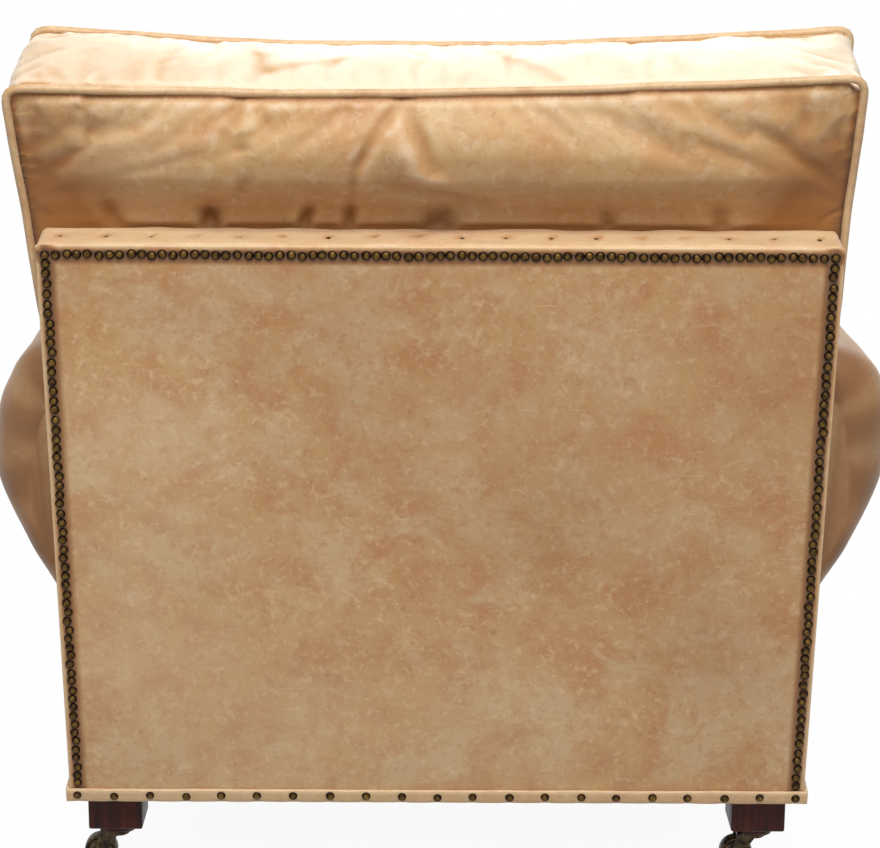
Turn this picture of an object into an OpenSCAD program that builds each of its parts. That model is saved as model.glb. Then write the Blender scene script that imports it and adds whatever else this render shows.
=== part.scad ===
// Leather armchair with scroll arms, a loose seat cushion and a loose back cushion that sits over
// the arms and leans back over the top rail. Nailed leather over a hardwood frame, with webbing and
// coil springs, on block and turned feet with swivel casters. The chair faces -Y, up is +Z, and the
// sitter's left is +X. The origin is on the floor under the middle of the whole chair.

/* [Overall] */
// Width over the arm rolls
overall_w = 982; // [950:1:1020]
// Depth from the frontmost nails to the rearmost nails
overall_d = 900; // [870:1:940]
// Height of the arm tops above the floor
arm_h = 648; // [630:1:665]
// Height of the base above the floor
floor_gap = 100; // [98:1:106]

/* [Back] */
// Width of the outside back
back_w = 838; // [826:1:850]
// Length of the outside back along its slope
back_len = 671; // [655:1:690]
// Lean of the back from upright, in degrees
rake = 10; // [8:0.5:12]
// Thickness of the upholstered back
back_t = 60; // [57:1:68]
// Radius of the front edge along the top of the back
back_top_r = 14; // [8:1:18]
// Depth of padding between the back's edges and its wood
edge_pad = 6; // [4:0.5:7]

/* [Arms] */
// Width of the seat between the arms
seat_w = 568; // [550:1:580]
// How far the outside back stands out beyond the outside arm
back_proud = 9; // [6:1:12]
// Height from the arm's widest point to its top
roll_h = 115; // [105:1:122]
// Height of the widest point above the foot of the roll
roll_drop = 215; // [200:1:225]
// Radius of the arm's inner top edge
arm_inner_r = 60; // [50:1:64]
// Radius of the arm's padded rear end
arm_end_r = 36; // [25:1:38]
// Gap from the arm's rear end to the face of the outside back
arm_end_gap = 20; // [14:1:22]
// Thickness of the arm's front facing
facing_t = 12; // [11:1:16]
// How far the facing's edge is drawn in from the arm's outline
facing_in = 3; // [1:0.5:5]

/* [Seat] */
// Height of the seat deck above the floor
deck_z = 290; // [284:1:300]
// Thickness of the deck's padding
deck_pad_t = 30; // [22:1:36]
// Thickness of the hessian over the springs
hessian_t = 1.5; // [1:0.5:2]
// Height of the seat cushion's side between its seams
seat_side_h = 122; // [112:1:128]
// Rise of the seat cushion's crown
seat_crown = 44; // [30:1:50]
// Gap from a cushion's piping to the arms
cushion_gap = 2; // [1:0.5:4]
// How far the seat cushion's front stands in from the front of the arms
seat_front_in = 6; // [2:1:14]

/* [Back cushion] */
// Thickness of the back cushion at its seams
cushion_t = 150; // [140:1:160]
// Half width of the back cushion just above the arms
cushion_half_w = 421; // [410:1:426]
// Half width added at the top corners
cushion_flare = 18; // [8:1:22]
// Height of the rear top seam above the outside back, along the slope
cushion_rise = 160; // [145:1:170]
// How much higher the front top seam is than the rear one
cushion_tip = 16; // [8:1:20]
// How far the middle of the top dips below its corners
cushion_dish = 11; // [4:1:14]
// Rise of the back cushion's front crown
cushion_crown = 50; // [34:1:56]
// How far the rear top seam leans back over the top rail
cushion_lean = 26; // [16:1:30]
// How far the rear face bulges out between its seams
cushion_bulge = 28; // [16:1:34]
// How far the sides of a cushion are drawn in between its seams
side_draw = 5; // [2:0.5:7]
// How far its top, and its sides above the arms, swell out between their seams
ear_swell = 7; // [4:1:10]

/* [Leather] */
// Thickness of leather with its lining
leather_t = 2.5; // [2:0.5:3]
// Radius of the piping
piping_r = 4.5; // [3.5:0.5:5.5]
// Depth of piping that is sewn into its seam
piping_seat = 1.8; // [1:0.1:1.9]
// Height of the leather strip round the base
strip_h = 16; // [14:1:20]
// Thickness of that strip
strip_t = 4; // [3:0.5:6]

/* [Nails] */
// Radius of a nail head
nail_r = 5.3; // [4.5:0.1:5.4]
// Height of a nail head
nail_h = 3.2; // [2.4:0.1:4]
// Radius of a nail's shank
shank_r = 1; // [0.8:0.1:1.2]
// Length of a nail's shank
nail_len = 13; // [12.5:0.5:15]
// Spacing of the close nails
nail_pitch = 11; // [11:0.1:13]
// Spacing of the nails on the base strip
strip_pitch = 41; // [30:1:50]
// Distance from an edge to the centres of the close nails
nail_in = 10; // [9:0.5:12]
// Spacing of the tacks along the top rail
tack_pitch = 46; // [40:1:56]
// Radius of a tack's head
tack_r = 2.5; // [2:0.1:3]

/* [Frame] */
// Thickness of the seat rails
rail_t = 28; // [24:1:32]
// Height of the seat rails
rail_h = 110; // [100:1:118]
// Width of the back posts
post_w = 50; // [44:1:56]
// Depth of the back posts
post_d = 40; // [36:1:42]
// Height of the back's top rail and tacking rail
cross_h = 70; // [60:1:76]
// Thickness of the arm boards
board_t = 22; // [18:1:26]
// Depth of wadding over the arm boards
board_down = 46; // [40:1:56]
// Thickness of the arm stumps, front to back
stump_d = 40; // [34:1:46]
// Side of the corner blocks
block_w = 50; // [40:1:56]
// Thickness of the arm tacking rails
slat_t = 22; // [18:1:26]
// Height of the arm tacking rails
slat_h = 40; // [34:1:46]
// Gap between a seat rail and an arm tacking rail
slat_up = 26; // [20:1:32]
// Distance from an arm's inner face to its wood
board_in = 30; // [24:1:36]
// Wadding over the outside of the seat frame
wall_pad = 8; // [6:1:12]
// Width of a webbing strap
strap_w = 50; // [40:1:56]
// Thickness of a webbing strap
strap_t = 1; // [0.8:0.1:1.2]
// Thickness of the dust cover
dust_t = 2; // [1.5:0.5:2.5]

/* [Springs] */
// Radius of the spring wire
wire_r = 2; // [1.6:0.1:2.4]
// Radius of a spring at its ends
spring_r = 38; // [32:1:42]
// Radius of a spring at its waist
waist_r = 27; // [22:1:32]
// Turns of a spring
spring_turns = 4; // [3:1:5]

/* [Feet and casters] */
// Width of a foot at its top
foot_w = 62; // [56:1:66]
// Distance from the outside back's lower edge to a rear foot
foot_in = 20; // [16:1:24]
// Radius of a foot's collar
collar_r = 22; // [20:1:24]
// Height of a foot's collar
collar_h = 8; // [6:1:10]
// Height of a caster below its plate
caster_h = 45; // [44:0.5:48]
// Thickness of a caster's plate
plate_t = 2; // [1.5:0.5:3]
// Radius of a caster wheel
wheel_r = 19; // [17:0.5:19.5]
// Width of a caster wheel
wheel_w = 18; // [15:0.5:20]
// Distance from the swivel stem to the wheel's axle
trail = 21; // [18:0.5:24]
// Radius of the swivel stem
stem_r = 4; // [3:0.1:5]
// Length of the swivel stem above the plate
stem_len = 34; // [25:1:38]
// Radius of the wheel's axle
axle_r = 2.5; // [2:0.1:3]
// Thickness of a fork's cheeks
cheek_t = 2.5; // [2:0.5:3]
// Running clearance round a pin
run_gap = 0.05; // [0.02:0.01:0.1]
// Clearance at the end of a turning piece
end_gap = 0.4; // [0.2:0.1:0.8]

/* [Hidden] */
$fn = 48;

LEATHER = "#c19a6b";
HARDWOOD = "#c9a77a";
MAHOGANY = "#3a1d16";
BRONZE = "#3b3428";
NAIL = "#7a5a32";
JUTE = "#b59a6a";
WADDING = "#ece4d2";

// Clearance of a soft piece from its neighbours
fit_gap = 0.3;
// Overshoot of a cut past the face that it opens
past = 2;
// Share of the roll's overhang that an arm board reaches across
board_reach = 0.38;
// Distance from a post's edges to the tongue of an arm board
tongue_in = 6;
// Drop of the back's tacking rail below the arms' tacking rails
tacking_down = 12;
// Clearance of the dust cover from the feet and the frame's edges
cover_gap = 6;
// Rise from the ears' foot to their full width
ear_foot = 4;
// How far a front foot's neck is smaller than its collar
neck_in = 4;
// Metal left round a caster's axle, and the size of its riveted ends
boss_wall = 3.5;
rivet_h = 1.2;
rivet_wall = 1.5;
half_w = overall_w / 2;
half_back = back_w / 2;
arm_out = half_back - back_proud;
arm_in = seat_w / 2;
// The outside back's lower edge, and the front of the arm facings
yb = overall_d / 2 - (back_len - nail_in) * sin(rake) - nail_h * cos(rake);
yf = -overall_d / 2 + strip_t + nail_h;
zb = floor_gap;
// The seat frame, from the outside of its rails
frame_out = arm_out - wall_pad;
frame_front = yf + facing_t;
rail_z = zb + dust_t + 2 * strap_t;
rail_top = rail_z + rail_h;
rail_in = frame_out - rail_t;
// Inside the back, depths count from the face of the outside back, which is 0, and go down forward
post_face = -2 * leather_t;
post_front = post_face - post_d;
wood_x = half_back - edge_pad;
wood_top = back_len - edge_pad;
post_in = wood_x - post_w;
nail_row = half_back - nail_in;
// How far piping stands out from the seam that it covers
piping_off = (piping_r - piping_seat) / sqrt(2);
piping_out = piping_off + piping_r;
// The arm's wood
board_x = arm_in + board_in;
board_out = mix(arm_out, half_w, board_reach);
board_z = arm_h - board_down;
slat_z = rail_top + slat_up;
// Places of the four casters: name, side, and distance along Y
foot_x = frame_out - foot_w / 2;
rear_y = yb - foot_in - foot_w / 2;
front_y = frame_front + foot_w / 2;
crown_top = caster_h - end_gap;
foot_z = caster_h + plate_t;

function mix(a, b, t) = a + (b - a) * t;
function clamp(t) = max(0, min(1, t));
function smooth(t) = let (c = clamp(t)) c * c * (3 - 2 * c);
function dome(t) = pow(max(0, sin(180 * clamp(t))), 0.6);
function unit(v) = v / norm(v);
function flat(lists) = [for (l = lists) each l];
function arc(c, r, from, to, n) = [for (i = [0:n]) let (a = mix(from, to, i / n)) c + r * [cos(a), sin(a)]];
function bezier(p, n) = [for (i = [1:n]) let (t = i / n, u = 1 - t)
    u * u * u * p[0] + 3 * u * u * t * p[1] + 3 * u * t * t * p[2] + t * t * t * p[3]];

// Evenly spread places between two ends, about one pitch apart
function spread(from, to, pitch) = let (n = max(1, round(abs(to - from) / pitch)))
    [for (i = [0:n]) mix(from, to, i / n)];

// A path moved to its left by d, keeping its ends square
function inset(path, d) = let (n = len(path)) [for (i = [0:n - 1])
    let (t = unit(path[min(i + 1, n - 1)] - path[max(i - 1, 0)])) path[i] + d * [t[1], -t[0]]];

// Points along a path, about one pitch apart
function along(path, pitch) = let (
    n = len(path) - 1,
    cum = [for (i = 0, s = 0; i <= n; s = s + (i < n ? norm(path[i + 1] - path[i]) : 0), i = i + 1) s])
    [for (s = spread(0, cum[n], pitch))
        let (k = max([for (i = [0:n - 1]) if (cum[i] <= s + 0.001) i]))
        mix(path[k], path[k + 1], (s - cum[k]) / (cum[k + 1] - cum[k]))];

// Draws a child in the back's own frame, where y goes out of the outside back and z up its slope
module in_back() {
    translate([0, yb, zb]) rotate([-rake, 0, 0]) children();
}

// Draws a child on the sitter's left, given as 1, or right, given as -1
module on_side(s) {
    mirror([s < 0 ? 1 : 0, 0, 0]) children();
}

module both_sides() {
    on_side(1) children();
    on_side(-1) children();
}

module box(x0, x1, y0, y1, z0, z1) {
    translate([x0, y0, z0]) cube([x1 - x0, y1 - y0, z1 - z0]);
}

// Extrudes a side view, drawn in Y and Z, from x0 to x1
module side_view(x0, x1) {
    translate([x0, 0, 0]) rotate([90, 0, 90]) linear_extrude(x1 - x0) children();
}

// Extrudes a front view, drawn in X and Z, from y0 to y1
module front_view(y0, y1) {
    translate([0, y1, 0]) rotate([90, 0, 0]) linear_extrude(y1 - y0) children();
}

// The room of the upholstered back, grown by a gap, for cutting what stands against it
module back_room(gap) {
    in_back() box(-half_back - gap, half_back + gap, -back_t - gap, back_t, -rail_h, back_len + gap);
}

// All that lies behind a depth in the back, for cutting frame pieces that meet it
module behind(depth) {
    in_back() box(-half_w, half_w, depth, depth + 2 * back_t, -rail_h, 2 * back_len);
}

// A closed solid through rings of points, with flat ends
module loft(rings) {
    n = len(rings[0]);
    m = len(rings);
    sides = [for (k = [0:m - 2]) for (i = [0:n - 1]) let (j = (i + 1) % n, p = k * n, q = p + n)
        each [[p + i, p + j, q + j], [p + i, q + j, q + i]]];
    ends = [[for (i = [n - 1:-1:0]) i], [for (i = [0:n - 1]) (m - 1) * n + i]];
    polyhedron(points = flat(rings), faces = concat(sides, ends), convexity = 8);
}

// A closed tube of radius r round a loop of points, with its rings square to it
module loop_tube(path, r, up) {
    n = len(path);
    s = 6;
    points = [for (i = [0:n - 1])
        let (t = unit(path[(i + 1) % n] - path[(i + n - 1) % n]), b = unit(cross(t, up)), c = cross(b, t))
        for (a = [0:s - 1]) path[i] + r * (cos(a * 360 / s) * b + sin(a * 360 / s) * c)];
    faces = [for (i = [0:n - 1]) for (a = [0:s - 1])
        let (c = (a + 1) % s, p = i * s, q = ((i + 1) % n) * s)
        each [[p + a, q + c, q + a], [p + a, p + c, q + c]]];
    polyhedron(points = points, faces = faces, convexity = 8);
}

// The border of a grid of points, once round
function edge(g) = let (m = len(g) - 1, n = len(g[0]) - 1) concat(
    [for (i = [0:n]) g[0][i]], [for (j = [1:m]) g[j][n]],
    [for (i = [n - 1:-1:0]) g[m][i]], [for (j = [m - 1:-1:1]) g[j][0]]);

// A closed solid between two grids of points, joined round their borders through a middle loop
module pillow(a, b, waist) {
    m = len(a);
    n = len(a[0]);
    rim = edge([for (j = [0:m - 1]) [for (i = [0:n - 1]) j * n + i]]);
    w = len(rim);
    back = m * n;
    loop = 2 * m * n;
    cells = [for (j = [0:m - 2]) for (i = [0:n - 2]) let (p = j * n + i, q = p + n)
        each [[p, q + 1, p + 1], [p, q, q + 1],
            [back + p, back + p + 1, back + q + 1], [back + p, back + q + 1, back + q]]];
    border = [for (k = [0:w - 1]) let (l = (k + 1) % w, p = rim[k], q = rim[l])
        each [[p, q, loop + l], [p, loop + l, loop + k],
            [loop + k, loop + l, back + q], [loop + k, back + q, back + p]]];
    polyhedron(points = concat(flat(a), flat(b), waist), faces = concat(cells, border), convexity = 8);
}

// Seat frame
module seat_rail_side() {
    difference() {
        box(rail_in, frame_out, frame_front + rail_t, yb + back_t, rail_z, rail_top);
        behind(post_front);
    }
}

module front_seat_rail() {
    color(HARDWOOD) box(-frame_out, frame_out, frame_front, frame_front + rail_t, rail_z, rail_top);
}

module rear_seat_rail() {
    color(HARDWOOD) intersection() {
        in_back() box(-post_in, post_in, post_face - rail_t, post_face, -rail_h, 2 * rail_h);
        box(-half_w, half_w, yb - back_t, yb + back_t, rail_z, rail_top);
    }
}

module left_seat_rail() {
    color(HARDWOOD) seat_rail_side();
}

module right_seat_rail() {
    color(HARDWOOD) on_side(-1) seat_rail_side();
}

module seat_corner_blocks() {
    color(HARDWOOD) both_sides() {
        translate([rail_in, frame_front + rail_t, rail_z]) linear_extrude(rail_h / 2)
            polygon([[0, 0], [0, block_w], [-block_w, 0]]);
        difference() {
            box(rail_in - block_w, rail_in, yb - block_w - back_t, yb + back_t, rail_z, rail_z + rail_h / 2);
            behind(post_front);
        }
    }
}

module post() {
    difference() {
        in_back() box(post_in, wood_x, post_front, post_face, -rail_h, wood_top);
        box(0, half_w, yb - 3 * back_t, yb + 3 * back_t, -rail_h, rail_z);
    }
}

module left_back_post() {
    color(HARDWOOD) post();
}

module right_back_post() {
    color(HARDWOOD) on_side(-1) post();
}

module back_top_rail() {
    color(HARDWOOD) in_back() box(-post_in, post_in, post_front, post_face, wood_top - cross_h, wood_top);
}

// The back's tacking rail stands just above the seat frame, and the arms' tacking rails meet it
tacking_z = slat_z - zb - tacking_down;

module back_tacking_rail() {
    color(HARDWOOD) in_back() box(-post_in, post_in, post_front, post_face, tacking_z, tacking_z + cross_h);
}

// Arm frame
module stump() {
    box(board_x, frame_out, frame_front, frame_front + stump_d, rail_top, board_z - board_t);
}

// A tongue of the board reaches through the upholstery to the back post
module arm_tongue(gap) {
    difference() {
        box(post_in + tongue_in - gap, frame_out - wall_pad + gap, yb - back_t / 2, yb + 2 * back_t,
            board_z - board_t - gap, board_z + gap);
        behind(post_front);
    }
}

module arm_board() {
    difference() {
        box(board_x, board_out, frame_front, yb + 2 * back_t, board_z - board_t, board_z);
        behind(-back_t - fit_gap);
    }
    arm_tongue(0);
}

module slat() {
    difference() {
        box(board_x, board_x + slat_t, frame_front + stump_d, yb + back_t, slat_z, slat_z + slat_h);
        behind(post_front);
    }
}

module left_arm_stump() {
    color(HARDWOOD) stump();
}

module right_arm_stump() {
    color(HARDWOOD) on_side(-1) stump();
}

module left_arm_board() {
    color(HARDWOOD) arm_board();
}

module right_arm_board() {
    color(HARDWOOD) on_side(-1) arm_board();
}

module arm_tacking_rails() {
    color(HARDWOOD) both_sides() slat();
}

// Seat suspension
spring_span = seat_w * 0.3;
spring_mid = (frame_front + yb) / 2;
spring_base = rail_z;
spring_top = deck_z - leather_t - deck_pad_t - hessian_t;

module seat_webbing() {
    color(JUTE) {
        for (i = [-2:2]) {
            box(i * spring_span / 2 - strap_w / 2, i * spring_span / 2 + strap_w / 2,
                frame_front, yb - back_t / 2, rail_z - 2 * strap_t, rail_z - strap_t);
            box(-frame_out, frame_out, spring_mid + i * spring_span / 2 - strap_w / 2,
                spring_mid + i * spring_span / 2 + strap_w / 2, rail_z - strap_t, rail_z);
        }
    }
}

// One spring is a single wire wound from its base to its top round a narrower waist
function spring_point(t, h) = let (r = mix(spring_r, waist_r, sin(180 * t)), a = 360 * spring_turns * t)
    [r * cos(a), r * sin(a), mix(wire_r + fit_gap, h - wire_r - fit_gap, t)];

module spring(h) {
    n = 8 * spring_turns;
    rings = [for (i = [0:n])
        let (p = spring_point(i / n, h), ahead = spring_point((i + 0.5) / n, h),
            t = unit(ahead - spring_point((i - 0.5) / n, h)), b = unit(cross(t, [0, 0, 1])), c = cross(b, t))
        [for (a = [0:60:300]) p + wire_r * (cos(a) * b + sin(a) * c)]];
    least = min([for (i = [0:n - 8]) norm(spring_point((i + 8) / n, h) - spring_point(i / n, h))]);
    echo(least_gap_between_turns = least - 2 * wire_r);
    loft(rings);
}

module seat_springs() {
    h = spring_top - spring_base;
    color(BRONZE) for (i = [-1:1]) for (j = [-1:1])
        translate([i * spring_span, spring_mid + j * spring_span, spring_base]) spring(h);
}

// The deck is level, and its rear edge follows the lean of the inside back
module deck_layer(z0, z1) {
    difference() {
        box(-arm_in + fit_gap, arm_in - fit_gap, frame_front, yb + back_t, z0, z1);
        back_room(fit_gap);
    }
}

module spring_hessian() {
    color(JUTE) {
        deck_layer(spring_top, spring_top + hessian_t);
        box(-arm_in + fit_gap, arm_in - fit_gap, frame_front, frame_front + hessian_t, rail_top, spring_top);
    }
}

module seat_deck_pad() {
    color(WADDING) deck_layer(spring_top + hessian_t, deck_z - leather_t);
}

module seat_deck_cover() {
    color(LEATHER) deck_layer(deck_z - leather_t, deck_z);
}

// Back suspension and upholstery
inside_z = (deck_z - zb + back_t * sin(rake)) / cos(rake);

module back_webbing() {
    color(JUTE) difference() {
        in_back() {
            for (x = spread(-post_in + strap_w, post_in - strap_w, 2 * strap_w))
                box(x - strap_w / 2, x + strap_w / 2, post_front - 2 * strap_t, post_front - strap_t,
                    tacking_z + cross_h / 2, wood_top - cross_h / 2);
            for (z = spread(inside_z + 1.5 * strap_w, wood_top - cross_h - strap_w, 1.7 * strap_w))
                box(-wood_x + past, wood_x - past, post_front - strap_t, post_front,
                    z - strap_w / 2, z + strap_w / 2);
        }
        both_sides() {
            arm_board();
            slat();
        }
    }
}

// The back's padded block in side view, inset by d
module back_block(d, z0) {
    front = -back_t + d;
    rear = -leather_t - d;
    top = back_len - d;
    r = back_top_r - d;
    side_view(-half_back + d, half_back - d)
        polygon(concat([[rear, z0], [rear, top]], arc([front + r, top - r], r, 90, 180, 6), [[front, z0]]));
}

module back_pad() {
    color(WADDING) difference() {
        in_back() difference() {
            back_block(leather_t, inside_z);
            box(-wood_x, wood_x, post_front - 2 * strap_t, back_t, 0, wood_top);
            box(-half_back, half_back, post_front - 2 * strap_t, back_t, 0, inside_z + past);
        }
        both_sides() arm_tongue(fit_gap);
    }
}

// The leather goes from the deck up the inside back, over the top and round the edges
module inside_back_cover() {
    color(LEATHER) difference() {
        in_back() difference() {
            back_block(0, 0);
            back_block(leather_t, -past);
            box(-post_in, post_in, -back_t / 2, 0, -past, wood_top - cross_h);
            box(-half_back + leather_t, half_back - leather_t, -back_t - past, -back_t / 2, -past, inside_z);
        }
        both_sides() arm_tongue(fit_gap);
        box(-half_w, half_w, yb - 2 * back_t, yb + back_t, 0, zb);
    }
}

module outside_back_panel() {
    color(LEATHER) in_back() box(-half_back, half_back, -leather_t, 0, 0, back_len);
}

// Arms. The outline goes from the base up the inside arm, over the roll and down to the base again
roll_z = arm_h - roll_h;
arm_path = concat(
    [[arm_in, zb], [arm_in, mix(zb, arm_h, 0.5)]],
    arc([arm_in + arm_inner_r, arm_h - arm_inner_r], arm_inner_r, 180, 90, 6),
    [[mix(arm_in + arm_inner_r, half_w, 0.3), arm_h]],
    bezier([[mix(arm_in + arm_inner_r, half_w, 0.3), arm_h], [mix(arm_in + arm_inner_r, half_w, 0.75), arm_h],
        [half_w, roll_z + 0.58 * roll_h], [half_w, roll_z]], 7),
    bezier([[half_w, roll_z], [half_w, roll_z - 0.25 * roll_drop],
        [mix(arm_out, half_w, 0.5), roll_z - 0.64 * roll_drop], [arm_out, roll_z - roll_drop]], 8),
    [[arm_out, zb]]);

// The arm's outline inset by d, with its two ends reaching down past the base by low
function arm_ring(d, low) = [for (p = inset(arm_path, d)) p[1] <= zb + 0.01 ? [p[0], zb - low] : p];

// The arm as a solid inset by d, from y0 back to an end that leans as the back does. Its rear end is
// rounded at the top and at the widest part of the roll
module arm_solid(d, y0, low) {
    r = arm_end_r - d;
    end = arm_end_gap + d;
    side = [yb + (arm_h - d - r - zb) * tan(rake) - (end + r) / cos(rake), arm_h - d - r];
    difference() {
        intersection() {
            front_view(y0, overall_d) polygon(arm_ring(d, low));
            side_view(0, half_w) polygon(concat(
                [[y0, -low], [yb - (zb + low) * tan(rake) - end / cos(rake), -low]],
                arc(side, r, -rake, 90, 6), [[y0, arm_h - d]]));
            in_back() translate([0, 0, -2 * rail_h]) linear_extrude(2 * back_len) polygon(concat(
                [[0, -2 * overall_d], [half_w - d, -2 * overall_d]],
                arc([half_w - d - r, -end - r], r, 0, 90, 6), [[0, -end]]));
        }
        box(0, frame_out, 2 * yf, -2 * yf, 0, rail_top);
        back_room(fit_gap);
    }
}

module arm_padding() {
    difference() {
        arm_solid(leather_t + fit_gap, frame_front, 0);
        stump();
        arm_board();
        slat();
    }
}

module arm_cover() {
    difference() {
        arm_solid(0, frame_front, 0);
        arm_solid(leather_t, frame_front - facing_t, facing_t);
    }
}

module arm_facing() {
    front_view(yf, frame_front) polygon(arm_ring(facing_in, 0));
}

module left_arm_padding() {
    color(WADDING) arm_padding();
}

module right_arm_padding() {
    color(WADDING) on_side(-1) arm_padding();
}

module left_arm_cover() {
    color(LEATHER) arm_cover();
}

module right_arm_cover() {
    color(LEATHER) on_side(-1) arm_cover();
}

module left_arm_facing() {
    color(LEATHER) arm_facing();
}

module right_arm_facing() {
    color(LEATHER) on_side(-1) arm_facing();
}

module front_border() {
    x = arm_in + facing_in - fit_gap;
    color(LEATHER) box(-x, x, yf, frame_front, zb, deck_z);
}

// A strip of leather round the base, with its rear length lying on the outside back
module base_strip() {
    color(LEATHER) {
        difference() {
            box(-arm_out - strip_t, arm_out + strip_t, yf - strip_t, yb + back_t, zb, zb + strip_h);
            box(-arm_out, arm_out, yf, yb + 2 * back_t, 0, deck_z);
            back_room(fit_gap);
        }
        in_back() difference() {
            box(-half_back - strip_t, half_back + strip_t, -back_t, strip_t, 0, strip_h);
            box(-half_back, half_back, -2 * back_t, 0, -past, strip_h + past);
        }
    }
}

// The dust cover reaches past the feet between them, and stays clear of them
module dust_cover() {
    x = foot_x - foot_w / 2 - cover_gap;
    color(BRONZE) {
        box(-x, x, frame_front, yb - back_t / 2, zb, zb + dust_t);
        box(-frame_out + cover_gap, frame_out - cover_gap,
            front_y + foot_w / 2 + cover_gap, rear_y - foot_w / 2 - cover_gap, zb, zb + dust_t);
    }
}

// Nails. A domed head in two steps on a straight shank, with the head pointing up
module nail(len) {
    brow = 0.6 * nail_h;
    translate([0, 0, -len]) cylinder(h = len, r = shank_r);
    cylinder(h = brow, r1 = nail_r, r2 = 0.8 * nail_r);
    translate([0, 0, brow]) cylinder(h = nail_h - brow, r1 = 0.8 * nail_r, r2 = 0.3 * nail_r);
}

module back_nail(x, z, y = 0) {
    in_back() translate([x, y, z]) rotate([-90, 0, 0]) nail(nail_len);
}

nail_top = back_len - nail_in;
nail_low = strip_h + nail_r + 1;

module back_top_nails() {
    color(NAIL) for (x = spread(-nail_row, nail_row, nail_pitch)) back_nail(x, nail_top);
}

module back_side_nails() {
    rows = spread(nail_low, nail_top, nail_pitch);
    color(NAIL) both_sides() for (i = [0:len(rows) - 2]) back_nail(nail_row, rows[i]);
}

module facing_nails() {
    start = zb + nail_low;
    path = [for (p = inset(arm_path, nail_in)) p[1] <= start ? [p[0], start] : p];
    for (p = along(path, nail_pitch)) translate([p[0], yf, p[1]]) rotate([90, 0, 0]) nail(facing_t - past);
}

module left_facing_nails() {
    color(NAIL) facing_nails();
}

module right_facing_nails() {
    color(NAIL) on_side(-1) facing_nails();
}

module base_strip_nails() {
    z = strip_h / 2;
    end = arm_out - nail_in;
    color(NAIL) {
        for (x = spread(-nail_row, nail_row, strip_pitch)) back_nail(x, z, strip_t);
        for (x = spread(-end, end, strip_pitch))
            translate([x, yf - strip_t, zb + z]) rotate([90, 0, 0]) nail(nail_len);
        both_sides() for (y = spread(yf + nail_in, yb - back_t - nail_in, strip_pitch))
            translate([arm_out + strip_t, y, zb + z]) rotate([0, 90, 0]) nail(nail_len);
    }
}

// Small tacks hold the leather down along the top rail
module rail_top_tacks() {
    end = half_back - tack_pitch / 2;
    color(NAIL) in_back() for (x = spread(-end, end, tack_pitch)) translate([x, -back_t / 2, back_len]) {
        translate([0, 0, -nail_len]) cylinder(h = nail_len, r = shank_r);
        cylinder(h = shank_r / 2, r1 = tack_r, r2 = shank_r);
    }
}

// Seat cushion, between its bottom and top seams, from its front to the inside back
seat_half = arm_in - cushion_gap - piping_out;
seat_z0 = deck_z + fit_gap + piping_out;
seat_z1 = seat_z0 + seat_side_h;
seat_y0 = yf + seat_front_in + piping_out;
seat_y1 = yb + (deck_z - zb) * tan(rake) - (back_t + fit_gap) / cos(rake) - piping_out;
// The crown ends where the back cushion stands on the seat cushion
seat_y2 = seat_y1 - cushion_t;
COLS = 12;

// Columns and rows are closer together near the seams
function spaced(i, n) = sin(180 * i / n - 90);

function seat_grid(d, top) = [for (j = [0:COLS]) [for (i = [0:COLS])
    let (u = spaced(i, COLS), v = spaced(j, COLS), y = mix(seat_y0 + d, seat_y1 - d, (v + 1) / 2),
        rise = top ? seat_crown * dome((seat_y2 - y) / (seat_y2 - seat_y0)) : -piping_out * (1 - pow(v, 4)),
        x = u * (seat_half - d - side_draw * (1 - v * v)))
    [x, y, (top ? seat_z1 - d : seat_z0 + d) + rise * (1 - pow(u, 4))]]];

// The middle of a cushion's side is drawn in towards the filling
function waist(a, b) = let (p = edge(a), q = edge(b)) [for (k = [0:len(p) - 1]) (p[k] + q[k]) / 2];

module seat_pillow(d) {
    pillow(seat_grid(d, true), seat_grid(d, false),
        waist(seat_grid(d + side_draw, true), seat_grid(d + side_draw, false)));
}

module seat_cushion_filling() {
    color(WADDING) seat_pillow(leather_t);
}

module seat_cushion_cover() {
    color(LEATHER) difference() {
        seat_pillow(0);
        seat_pillow(leather_t);
    }
}

module seat_cushion_piping() {
    color(LEATHER) for (top = [false, true])
        loop_tube(edge(seat_grid(-piping_off, top)), piping_r, [0, 0, 1]);
}

// Back cushion. Its lower part stands between the arms, and its ears stand over them
low_half = arm_in - cushion_gap - piping_out;
cushion_rear = -back_t - fit_gap - piping_out;
cushion_front = cushion_rear - cushion_t;
cushion_z0 = seat_z1 + 2 * piping_out + fit_gap;
ear_z = arm_h + cushion_gap + piping_out;
over_rail = back_len + fit_gap + piping_out;
top_seam = back_len + cushion_rise;

// Distance up the slope at which a depth in the back is at height z
function up_slope(z, depth) = (z - zb + depth * sin(rake)) / cos(rake);

// Rows from the bottom seam to the top one: the part below the ears, the ears' foot, and above
LOW = 2;
function cushion_row(j, front, d) = let (
    depth = front ? cushion_front + d : cushion_rear - d,
    z0 = up_slope(cushion_z0 + d, depth),
    z1 = up_slope(ear_z + d, depth),
    z2 = z1 + ear_foot,
    z3 = front ? mix(z2, top_seam + cushion_tip - d, 0.35) : over_rail + d,
    z4 = front ? top_seam + cushion_tip - d : top_seam - d)
    j <= LOW ? mix(z0, z1, j / LOW) : j <= LOW + 2 ? mix(z2, z3, (j - LOW - 1) / 2) :
    mix(z3, z4, (spaced(j - LOW - 2, 7) + 1) / 2);
ROWS = LOW + 9;

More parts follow.
